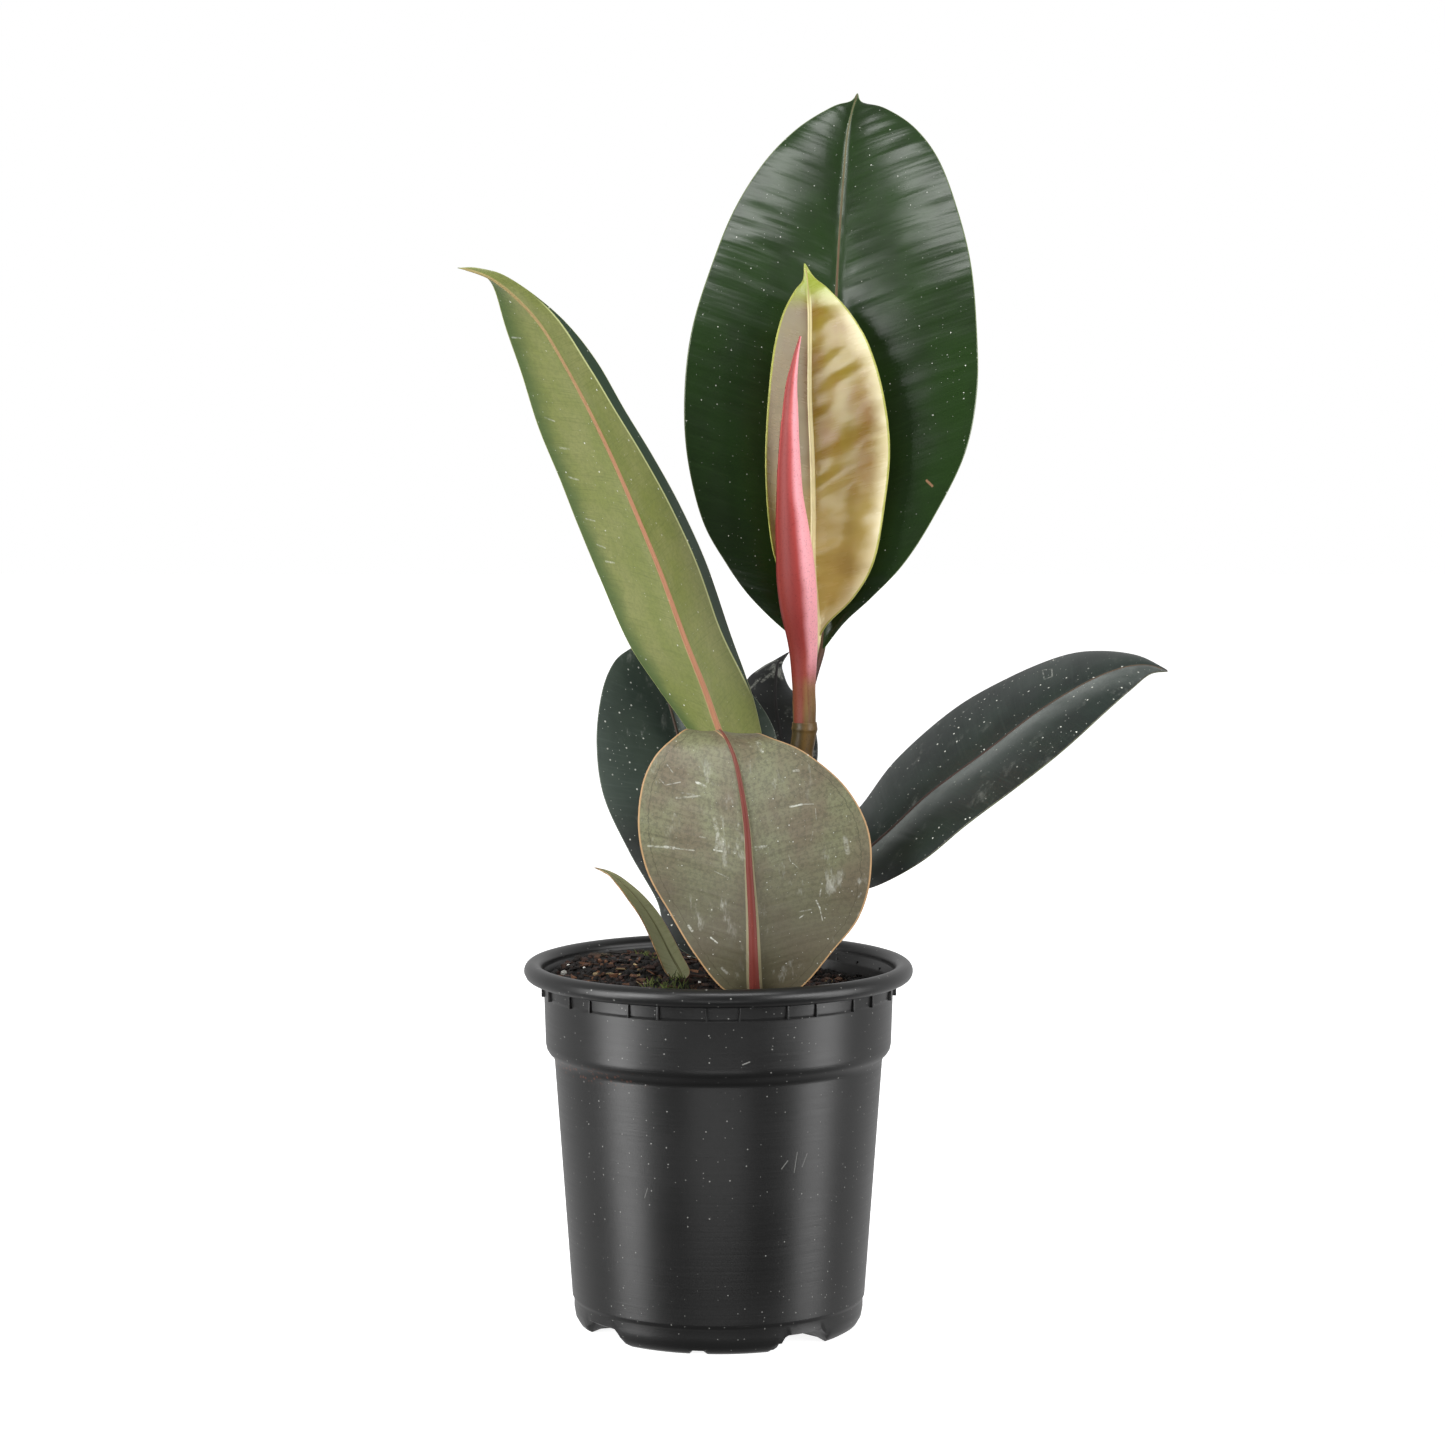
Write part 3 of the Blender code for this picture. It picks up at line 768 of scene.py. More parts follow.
class Workshop:
    """Helpers that turn a bmesh into a finished piece."""

    @staticmethod
    def piece(
        name: str, bm: bmesh.types.BMesh, skins: Sequence[bpy.types.Material], sharp: float = 180.0
    ) -> bpy.types.Object:
        """Makes an object from a bmesh.

        Args:
            name: The piece's name.
            bm: The bmesh, which is freed.
            skins: Its materials in slot order.
            sharp: Edges that turn more than this many degrees stay crisp.

        Returns:
            The object at the origin.
        """
        bm.normal_update()
        bmesh.ops.recalc_face_normals(bm, faces=bm.faces)
        mesh = bpy.data.meshes.new(name)
        bm.to_mesh(mesh)
        bm.free()
        mesh.shade_smooth()
        if sharp < 180:
            mesh.set_sharp_from_angle(angle=math.radians(sharp))
        for skin in skins:
            mesh.materials.append(skin)
        obj = bpy.data.objects.new(name, mesh)
        bpy.context.scene.collection.objects.link(obj)
        return obj

    @staticmethod
    def mount(obj: bpy.types.Object, node: str, slot: str) -> None:
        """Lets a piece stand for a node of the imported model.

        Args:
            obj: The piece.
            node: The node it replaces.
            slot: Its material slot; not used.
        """
        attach(obj, "root")
        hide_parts(node)
        LOG.info("%s: %d faces", obj.name, len(obj.data.polygons))


def unit(vector: np.ndarray) -> np.ndarray:
    """A vector's direction."""
    return vector / max(float(np.linalg.norm(vector)), 1e-12)


def smooth(points: np.ndarray, t: float) -> np.ndarray:
    """Reads a smooth curve through the rows of an array.

    Args:
        points: One row per point.
        t: Place on the curve from 0 to 1.

    Returns:
        The row at that place.
    """
    count = len(points)
    place = min(max(t, 0.0), 1.0) * (count - 1)
    i = min(int(place), count - 2)
    f = place - i
    b, c = points[i], points[i + 1]
    a = points[i - 1] if i > 0 else 2 * b - c
    d = points[i + 2] if i + 2 < count else 2 * c - b
    return 0.5 * (2 * b + (c - a) * f + (2 * a - 5 * b + 4 * c - d) * f**2
                  + (3 * b - a - 3 * c + d) * f**3)


@dataclass
class Sweep:
    """A round shape drawn along a path."""

    path: np.ndarray
    ups: np.ndarray
    segments: int = 16

    def frames(self) -> list[Matrix]:
        """Works out where each section stands.

        Returns:
            One matrix per path point, from a unit circle to the section there.
        """
        result = []
        spots = self.path[:, :3]
        for k, (spot, radius) in enumerate(zip(spots, self.path[:, 3])):
            ahead = unit(spots[min(k + 1, len(spots) - 1)] - spots[max(k - 1, 0)])
            side = unit(np.cross(ahead, self.ups[k]))
            top = np.cross(side, ahead)
            columns = (side * radius * MM, top * radius * MM, ahead * MM, spot * MM)
            matrix = Matrix([[*(float(c[i]) for c in columns)] for i in range(3)] + [[0, 0, 0, 1]])
            result.append(matrix)
        return result

    def build(self, bm: bmesh.types.BMesh) -> list[list[bmesh.types.BMVert]]:
        """Extrudes the section from point to point.

        Args:
            bm: Where it is made; its layers level, side and length are filled.

        Returns:
            The points of each section.
        """
        level, side, length = (bm.verts.layers.float[key] for key in ("level", "side", "length"))
        made = bmesh.ops.create_circle(bm, cap_ends=True, segments=self.segments, radius=1.0)
        ring = made["verts"]
        for vert in ring:
            vert[level], vert[side] = vert.co.x, -vert.co.y
        face = ring[0].link_faces[0]
        frames = self.frames()
        bmesh.ops.transform(bm, matrix=frames[0], verts=ring)
        rings = [ring]
        gone = 0.0
        for k in range(1, len(frames)):
            gone += float(np.linalg.norm(self.path[k, :3] - self.path[k - 1, :3]))
            grown = bmesh.ops.extrude_face_region(bm, geom=[face, *face.edges])["geom"]
            face = next(item for item in grown if isinstance(item, bmesh.types.BMFace))
            ring = list(face.verts)
            bmesh.ops.transform(bm, matrix=frames[k] @ frames[k - 1].inverted(), verts=ring)
            back = frames[k].inverted()
            for vert in ring:
                spot = back @ vert.co
                vert[level], vert[side], vert[length] = spot.x, -spot.y, gone
            rings.append(ring)
        return rings


@dataclass
class Blade:
    """The surface of a leaf: two halves curving from the midrib to the margins."""

    rows: Sequence[Sequence[Point]]
    bulge: float = 0.09
    end_share: float = 0.08
    fold_at: float = 0.75

    def __post_init__(self) -> None:
        """Works out the columns and the distance along the midrib."""
        self.columns = self._columns()
        self.fine = np.linspace(0, 1, 241)
        mids = np.array([smooth(self.columns, t)[:3] for t in self.fine])
        steps = np.linalg.norm(np.diff(mids, axis=0), axis=1)
        self.run = np.concatenate([[0], np.cumsum(steps)])

    def _columns(self) -> np.ndarray:
        """Works out what each row needs for its curves.

        Returns:
            Midrib, margins, the halves' control points and the upward way, row by row.
        """
        table = []
        last = len(self.rows) - 1
        for k, row in enumerate(self.rows):
            mid, fold = np.array(row[0], float), None
            if len(row) == 1:
                near = [np.array(p, float) for p in self.rows[1 if k == 0 else last - 1]]
                left = mid + self.end_share * (near[1] - near[0])
                right = mid + self.end_share * (near[2] - near[0])
            else:
                left, right = np.array(row[1], float), np.array(row[2], float)
                fold = np.array(row[3], float) if len(row) > 3 else None
            table.append((mid, left, right, fold))
        columns = []
        for k, (mid, left, right, fold) in enumerate(table):
            ahead = table[min(k + 1, last)][0] - table[max(k - 1, 0)][0]
            up = unit(np.cross(right - left, ahead))
            turns = [(mid + edge) / 2 + up * np.linalg.norm(edge - mid) * self.bulge
                     for edge in (left, right)]
            if fold is not None:
                a, b = (1 - self.fold_at) ** 2, self.fold_at**2
                turns[0] = (fold - a * mid - b * left) / (2 * self.fold_at * (1 - self.fold_at))
            columns.append(np.concatenate([mid, left, right, *turns, up]))
        return np.array(columns)

    def section(self, t: float, shares: np.ndarray) -> np.ndarray:
        """Reads points across the blade.

        Args:
            t: Place along the rows from 0 to 1.
            shares: Places from -1 at the left margin to 1 at the right.

        Returns:
            One point per share.
        """
        row = smooth(self.columns, t)
        mid, left, right, turn_left, turn_right = (row[3 * k:3 * k + 3] for k in range(5))
        u = np.abs(shares)[:, None]
        on_left = (shares < 0)[:, None]
        edge, turn = np.where(on_left, left, right), np.where(on_left, turn_left, turn_right)
        return (1 - u) ** 2 * mid + 2 * u * (1 - u) * turn + u**2 * edge

    def steps(self, count: int) -> np.ndarray:
        """Steps evenly along the midrib, closer together at both ends.

        Args:
            count: Number of steps.

        Returns:
            Places from 0 to 1.
        """
        share = np.linspace(0, 1, count + 1)
        share = 0.5 * share + 0.25 * (1 - np.cos(math.pi * share))
        return np.interp(share * self.run[-1], self.run, self.fine)


@dataclass
class Stalk:
    """How a leaf joins the plant: on the stem, or standing in the potting mix."""

    radius: float
    height: float
    way: Point | None = None
    between: tuple[Point, ...] = ()


@dataclass
class Leaf:
    """A leaf: blade, midrib and petiole in one piece."""

    node: str
    slot: str
    rows: Sequence[Sequence[Point]]
    rib: tuple[float, float]
    stalk: Stalk
    skins: tuple[LeafSkin, LeafSkin, MarginSkin, RibSkin]
    thickness: float = 0.8
    rim: float = 0.5
    swell: float = 0.08
    end_rim: float = 0.12
    end_swell: float = 0.3
    groove: tuple[float, float] = (1.3, 0.22)
    halves: int = 15
    lengthwise: int = 120
    wave: float = 0.25
    ripple: float = 0.0
    vein_step: float = 7.5
    vein_slant: float = 9.0
    seed: float = 0.0
    bulge: float = 0.09
    rib_taper: float = 0.8
    rib_segments: int = 14
    rib_steps: int = 120

    def __post_init__(self) -> None:
        """Makes the blade's surface."""
        self.blade = Blade(self.rows, self.bulge)

    def build(self, stem: Stem) -> bpy.types.Object:
        """Makes the leaf on its stalk.

        Args:
            stem: The stem that it may stand on.

        Returns:
            The leaf.
        """
        bm = bmesh.new()
        for key in ("across", "along", "edge", "level", "side", "length", "stalk"):
            bm.verts.layers.float.new(key)
        self._blade(bm)
        self._midrib(bm, stem)
        materials = [skin.build() for skin in self.skins]
        leaf = Workshop.piece(f"{self.node}_blade", bm, materials)
        Workshop.mount(leaf, self.node, self.slot)
        return leaf

    def _shares(self) -> np.ndarray:
        """Places across the blade, with a narrow last strip at each margin."""
        half = np.append(np.linspace(0, 0.988, self.halves), 1.0)
        return np.concatenate([-half[:0:-1], half])

    def _blade(self, bm: bmesh.types.BMesh) -> None:
        """Bends a grid into the blade and gives it its thickness.

        Args:
            bm: Where it is made.
        """
        shares, places = self._shares(), self.blade.steps(self.lengthwise)
        across, along = len(shares) - 1, self.lengthwise
        grid = np.array([self.blade.section(t, shares) for t in places])
        self._waves(grid, shares, places)
        run = np.interp(places, self.blade.fine, self.blade.run)
        middle = len(shares) // 2
        arc = np.zeros(grid.shape[:2])
        arc[:, 1:] = np.cumsum(np.linalg.norm(np.diff(grid, axis=1), axis=2), axis=1)
        arc -= arc[:, middle:middle + 1]
        edge = np.minimum(arc - arc[:, :1], arc[:, -1:] - arc)
        ahead, over = np.gradient(grid, axis=0), np.gradient(grid, axis=1)
        normals = np.cross(over, ahead)
        normals /= np.maximum(np.linalg.norm(normals, axis=2, keepdims=True), 1e-9)
        thick = np.minimum(self.rim + edge * self.swell, self.thickness)
        width = arc[:, -1:] - arc[:, :1]
        thick = np.minimum(thick, self.end_rim + self.end_swell * width)[:, :, None] / 2
        half_width, depth = self.groove
        groove = (np.exp(-((arc / half_width) ** 2)) * depth)[:, :, None]
        upper, under = grid + normals * (thick - groove), grid - normals * thick
        bmesh.ops.create_grid(bm, x_segments=across, y_segments=along, size=1.0)
        lower_faces = list(bm.faces)
        cells = {v: (round((v.co.y + 1) / 2 * along), round((v.co.x + 1) / 2 * across))
                 for v in bm.verts}
        grown = bmesh.ops.extrude_face_region(bm, geom=lower_faces)["geom"]
        upper_faces = {f for f in grown if isinstance(f, bmesh.types.BMFace)}
        for vert in [v for v in grown if isinstance(v, bmesh.types.BMVert)]:
            i, j = (round((vert.co.y + 1) / 2 * along), round((vert.co.x + 1) / 2 * across))
            self._set(bm, vert, upper[i, j], arc[i, j], run[i], edge[i, j])
        for vert, (i, j) in cells.items():
            self._set(bm, vert, under[i, j], arc[i, j], run[i], edge[i, j])
        lower = {f for f in lower_faces if f.is_valid}
        for face in bm.faces:
            face.material_index = 0 if face in upper_faces else 1 if face in lower else 2

    def _set(self, bm: bmesh.types.BMesh, vert: bmesh.types.BMVert, spot: np.ndarray,
             across: float, along: float, edge: float) -> None:
        """Places a point of the blade and keeps its distances on it.

        Args:
            bm: The leaf.
            vert: The point.
            spot: Its place.
            across: Distance from the midrib, negative on the left.
            along: Distance from the blade's base.
            edge: Distance from the margin.
        """
        vert.co = Vector(spot) * MM
        for key, value in (("across", across), ("along", along), ("edge", edge)):
            vert[bm.verts.layers.float[key]] = value

    def _waves(self, grid: np.ndarray, shares: np.ndarray, places: np.ndarray) -> None:
        """Adds the slight waves of the margin and the ripple between the side veins.

        Args:
            grid: Points of the blade, which are moved.
            shares: Their places across.
            places: Their places along.
        """
        for i, t in enumerate(places):
            up = unit(smooth(self.blade.columns, t)[15:18])
            fade = math.sin(math.pi * min(max(t, 0.0), 1.0)) ** 0.5 if 0 < t < 1 else 0.0
            for j, share in enumerate(shares):
                wander = noise.noise(Vector((t * 9.0, share * 1.3, self.seed)))
                size = self.wave * abs(share) ** 2.5 * wander
                phase = t * self.blade.run[-1] - abs(share) * self.vein_slant
                phase = phase * 2 * math.pi / self.vein_step
                swing = math.sin(phase + wander * 2.0)
                size += self.ripple * swing * math.sin(math.pi * abs(share))
                grid[i, j] += up * size * fade

    def _midrib(self, bm: bmesh.types.BMesh, stem: Stem) -> None:
        """Draws the petiole and the midrib along the blade's under side.

        Args:
            bm: The leaf.
            stem: The stem that it may stand on.
        """
        path, ups, stalk_points = self._path(stem)
        gone = np.linalg.norm(np.diff(path[:, :3], axis=0), axis=1)
        run = np.concatenate([[0], np.cumsum(gone)])
        even = np.linspace(0, run[-1], self.rib_steps)
        places = np.interp(even, run, np.linspace(0, 1, len(path)))
        fine = [smooth(path, t) for t in places]
        lift = [smooth(ups, t) for t in places]
        before = set(bm.faces)
        rings = Sweep(np.array(fine), np.array(lift), self.rib_segments).build(bm)
        stalk = bm.verts.layers.float["stalk"]
        for place, ring in zip(places * (len(path) - 1), rings):
            blade_share = (place - stalk_points) / (len(path) - 1 - stalk_points)
            for vert in ring:
                vert[stalk] = min(1.0, -blade_share * 12) if blade_share < 0 else -blade_share
        for face in bm.faces:
            if face not in before:
                face.material_index = 3

    def _path(self, stem: Stem) -> tuple[np.ndarray, np.ndarray, int]:
        """Works out the way of the petiole and the midrib.

        Args:
            stem: The stem that it may stand on.

        Returns:
            Path points with radii, the upward way at each, and how many belong to the petiole.
        """
        base, tip = self.rib
        rib, ups = [], []
        for t in self.blade.steps(40)[:-1]:
            row = smooth(self.blade.columns, t)
            up = unit(row[15:18])
            radius = base + (tip - base) * t**self.rib_taper
            rib.append(np.append(row[:3] - up * radius * 0.45, radius))
            ups.append(up)
        if self.stalk.way is None:
            x, y, z = rib[0][:3]
            start = [np.array((x, y, self.stalk.height, self.stalk.radius)),
                     np.array((x, y, z - 2, self.stalk.radius))]
        else:
            start = stem.joint(self.stalk.height, self.stalk.way, self.stalk.radius)
            start += [np.array(p, float) for p in self.stalk.between]
        return np.array(start + rib), np.array([ups[0]] * len(start) + ups), len(start)


@dataclass
class Stem:
    """The stem, with the rings where leaves have been."""

    path: Sequence[Point]
    skin: ShootSkin
    segments: int = 40
    rings: tuple[float, ...] = (168.0, 197.0, 229.0, 239.0)
    ring_rise: float = 0.28
    ring_width: float = 0.9
    bumps: float = 0.00018
    sink: float = 0.6

    def points(self, count: int) -> np.ndarray:
        """Even points along the stem."""
        rows = np.array(self.path, float)
        return np.array([smooth(rows, t) for t in np.linspace(0, 1, count + 1)])

    def joint(self, height: float, way: Point, radius: float) -> list[np.ndarray]:
        """Starts a petiole inside the stem's skin.

        Args:
            height: Height on the stem.
            way: The way it leaves.
            radius: The petiole's radius.

        Returns:
            Its first path points.
        """
        stem = self.points(60)
        k = int(np.argmin(abs(stem[:, 2] - height)))
        along = unit(stem[k + 1, :3] - stem[k - 1, :3])
        out = np.array(way, float)
        out = unit(out - along * np.dot(out, along))
        start = stem[k, :3] + out * (stem[k, 3] - self.sink)
        return [np.append(start, radius * 1.25), np.append(start + out * 2.2, radius)]

    def build(self) -> bpy.types.Object:
        """Makes the stem.

        Returns:
            The stem.
        """
        bm = bmesh.new()
        for key in ("level", "side", "length", "seam"):
            bm.verts.layers.float.new(key)
        path = self.points(150)
        for row in path:
            for height in self.rings:
                off = (row[2] - height) / self.ring_width
                row[3] += self.ring_rise * math.exp(-(off**2))
            row[3] += 0.12 * noise.noise(Vector((0.0, 0.0, row[2] * 0.3)))
        ups = np.tile((0.0, 1.0, 0.0), (len(path), 1))
        rings = Sweep(path, ups, self.segments).build(bm)
        level, side = bm.verts.layers.float["level"], bm.verts.layers.float["side"]
        for row, ring in zip(path, rings):
            centre = Vector(row[:3]) * MM
            for vert in ring:
                spot = Vector((vert[level] * 1.4, vert[side] * 1.4, row[2] * 0.12))
                vert.co += (vert.co - centre).normalized() * noise.noise(spot) * self.bumps
        stem = Workshop.piece("stem_bark", bm, [self.skin.build()])
        Workshop.mount(stem, "stem", "stem_bark")
        return stem


@dataclass
class BudSheath:
    """The pointed sheath of the next leaf, wrapped once round itself."""

    path: Sequence[Point]
    skin: ShootSkin
    segments: int = 56
    steps: int = 170
    seam_start: float = -0.35
    seam_twist: float = 0.9
    seam_step: float = 0.32
    lip_run: float = 0.9
    seam_width: float = 0.16

    def build(self) -> bpy.types.Object:
        """Makes the sheath.

        Returns:
            The sheath.
        """
        bm = bmesh.new()
        for key in ("level", "side", "length", "seam"):
            bm.verts.layers.float.new(key)
        rows = np.array(self.path, float)
        path = np.array([smooth(rows, t) for t in np.linspace(0, 1, self.steps)])
        path[:, 3] = np.maximum(path[:, 3], 0.3)
        ups = np.tile((0.0, 1.0, 0.0), (len(path), 1))
        rings = Sweep(path, ups, self.segments).build(bm)
        level, side, seam = (bm.verts.layers.float[key] for key in ("level", "side", "seam"))
        for k, (row, ring) in enumerate(zip(path, rings)):
            share = k / (len(path) - 1)
            centre = Vector(row[:3]) * MM
            edge_turn = self.seam_start + self.seam_twist * share
            fade = min(share / 0.12, 1.0) * min((1 - share) / 0.08, 1.0)
            for vert in ring:
                turn = math.atan2(-vert[side], vert[level])
                past = (turn - edge_turn) % (2 * math.pi)
                away = (vert.co - centre).normalized()
                lip = math.exp(-past / self.lip_run) * self.seam_step
                ridge = 0.05 * row[3] * math.cos(2 * (turn - 0.6))
                vert.co += away * (lip + ridge - 0.1) * fade * MM
                before = 2 * math.pi - past
                near = min(past, before) / self.seam_width
                vert[seam] = math.exp(-(near**2)) * fade
        bud = Workshop.piece("bud_skin", bm, [self.skin.build()])
        Workshop.mount(bud, "bud_sheath", "bud_skin")
        return bud


class Grain(Enum):
    """Kinds of bits in the potting mix, by their place on the finish's colour ramp."""

    DARK = 0.0
    BARK = 0.2
    CHIP = 0.4
    STRAW = 0.6
    PERLITE = 0.8
    MOSS = 1.0


@dataclass
class Feet:
    """The arches between the pot's four feet."""

    turn_deg: float = -8.5
    height: float = 6.5
    half_widths: tuple[float, float] = (13.5, 9.0)
    inner: float = 27.0
    notch: tuple[float, float] = (3.25, 1.7)

    def lift(self, x: float, y: float, z: float, wall: float) -> float:
        """Raises a point of the pot's bottom into an arch.

        Args:
            x: Across, in millimetres.
            y: Depth, in millimetres.
            z: Height, in millimetres.
            wall: Material between the arch and the point.

        Returns:
            The new height.
        """
        radius = math.hypot(x, y)
        if radius < self.inner - wall - 0.1:
            return z
        turn = math.atan2(x, -y)
        low, top = self.half_widths
        roof = z
        for k in range(4):
            middle = math.radians(self.turn_deg + 45 + 90 * k)
            off = abs((turn - middle + math.pi) % (2 * math.pi) - math.pi)
            if off < math.pi / 2:
                across = radius * math.sin(off) - wall
                rise = self.height * min(max((low - across) / (low - top), 0.0), 1.0)
                if rise > 0:
                    roof = max(roof, rise + wall)
            middle = math.radians(self.turn_deg + 90 * k)
            off = abs((turn - middle + math.pi) % (2 * math.pi) - math.pi)
            if radius > 50 and wall < 0.1 and radius * math.sin(min(off, 1.5)) < self.notch[0]:
                roof = max(roof, self.notch[1])
        return roof


@dataclass
class Pot:
    """The thin-wall pot: turned profile, ribs under the bead and arches between the feet."""

    inner: Sequence[Point]
    outer: Sequence[Point]
    feet: Feet
    skin: PotSkin
    bead: tuple[float, float, float] = (74.0, 142.8, 3.6)
    steps: int = 240
    rib_count: int = 14
    rib_first: float = 1.5
    rib_pair: float = 5.1
    rib_size: Point = (0.8, 2.2, 6.6)
    rib_spot: tuple[float, float] = (70.0, 136.7)
    nick: Point = (-76.9, -10.0, 141.0)
    nick_reach: float = 4.0
    nick_depth: float = 0.9

    def profile(self) -> list[Point]:
        """Draws the section from the middle of the floor, up inside, over the bead and down.

        Returns:
            Pairs of radius and height.
        """
        r, z, radius = self.bead
        turns = [math.radians(a) for a in np.linspace(190, -100, 22)]
        arc = [(r + radius * math.cos(a), z + radius * math.sin(a)) for a in turns]
        corners = [*self.inner, *arc, *self.outer]
        spots = [corners[0]]
        for (r0, z0), (r1, z1) in zip(corners, corners[1:]):
            length = math.hypot(r1 - r0, z1 - z0)
            extra = []
            if length > 3.5:
                extra = [0.5 / length, *np.linspace(0, 1, max(int(length / 12), 1) + 1)[1:-1],
                         1 - 0.5 / length]
            spots += [(r0 + (r1 - r0) * s, z0 + (z1 - z0) * s) for s in extra]
            spots.append((r1, z1))
        return spots

    def build(self) -> bpy.types.Object:
        """Makes the pot.

        Returns:
            The pot.
        """
        bm = bmesh.new()
        profile = self.profile()
        line = [bm.verts.new((r * MM, 0, z * MM)) for r, z in profile]
        edges = [bm.edges.new(pair) for pair in zip(line, line[1:])]
        bmesh.ops.spin(bm, geom=line + edges, cent=(0, 0, 0), axis=(0, 0, 1), dvec=(0, 0, 0),
                       angle=2 * math.pi, steps=self.steps, use_merge=True, use_duplicate=False)
        bmesh.ops.remove_doubles(bm, verts=bm.verts, dist=1e-6)
        self._raise_arches(bm)
        self._nick(bm)
        self._ribs(bm)
        pot = Workshop.piece("pot_wall", bm, [self.skin.build()], 42)
        Workshop.mount(pot, "pot", "pot_plastic")
        return pot

    def _raise_arches(self, bm: bmesh.types.BMesh) -> None:
        """Lifts the bottom and the floor over it into the four arches.

        Args:
            bm: The pot.
        """
        for vert in bm.verts:
            x, y, z = vert.co / MM
            radius = math.hypot(x, y)
            inside = radius < 51.5 and 1.5 < z < 8.2 or radius < 56 and abs(z - 8.1) < 0.2
            if z < 12:
                vert.co.z = self.feet.lift(x, y, z, 1.6 if inside else 0.0) * MM

    def _nick(self, bm: bmesh.types.BMesh) -> None:
        """Dents the bead a little on the left.

        Args:
            bm: The pot.
        """
        spot = Vector(self.nick) * MM
        for vert in bm.verts:
            away = (vert.co - spot).length / MM
            if away < self.nick_reach:
                depth = self.nick_depth * (1 - away / self.nick_reach) ** 2
                vert.co += Vector((1, 0.1, 0)) * MM * depth

    def _ribs(self, bm: bmesh.types.BMesh) -> None:
        """Sets pairs of small upright ribs under the bead.

        Args:
            bm: The pot.
        """
        for k in range(self.rib_count):
            for side in (-1, 1):
                turn = self.rib_first + k * 360 / self.rib_count + side * self.rib_pair
                turn = math.radians(turn)
                radius, z = self.rib_spot
                spot = Vector((math.sin(turn) * radius, -math.cos(turn) * radius, z)) * MM
                size = Matrix.Diagonal((*(s * MM for s in self.rib_size), 1))
                matrix = Matrix.Translation(spot) @ Matrix.Rotation(turn, 4, "Z") @ size
                cube = bmesh.ops.create_cube(bm, size=1.0, matrix=matrix)["verts"]
                edges = list({edge for vert in cube for edge in vert.link_edges})
                bmesh.ops.bevel(bm, geom=edges, offset=0.18 * MM, affect="EDGES", segments=2,
                                profile=0.5, material=-1)


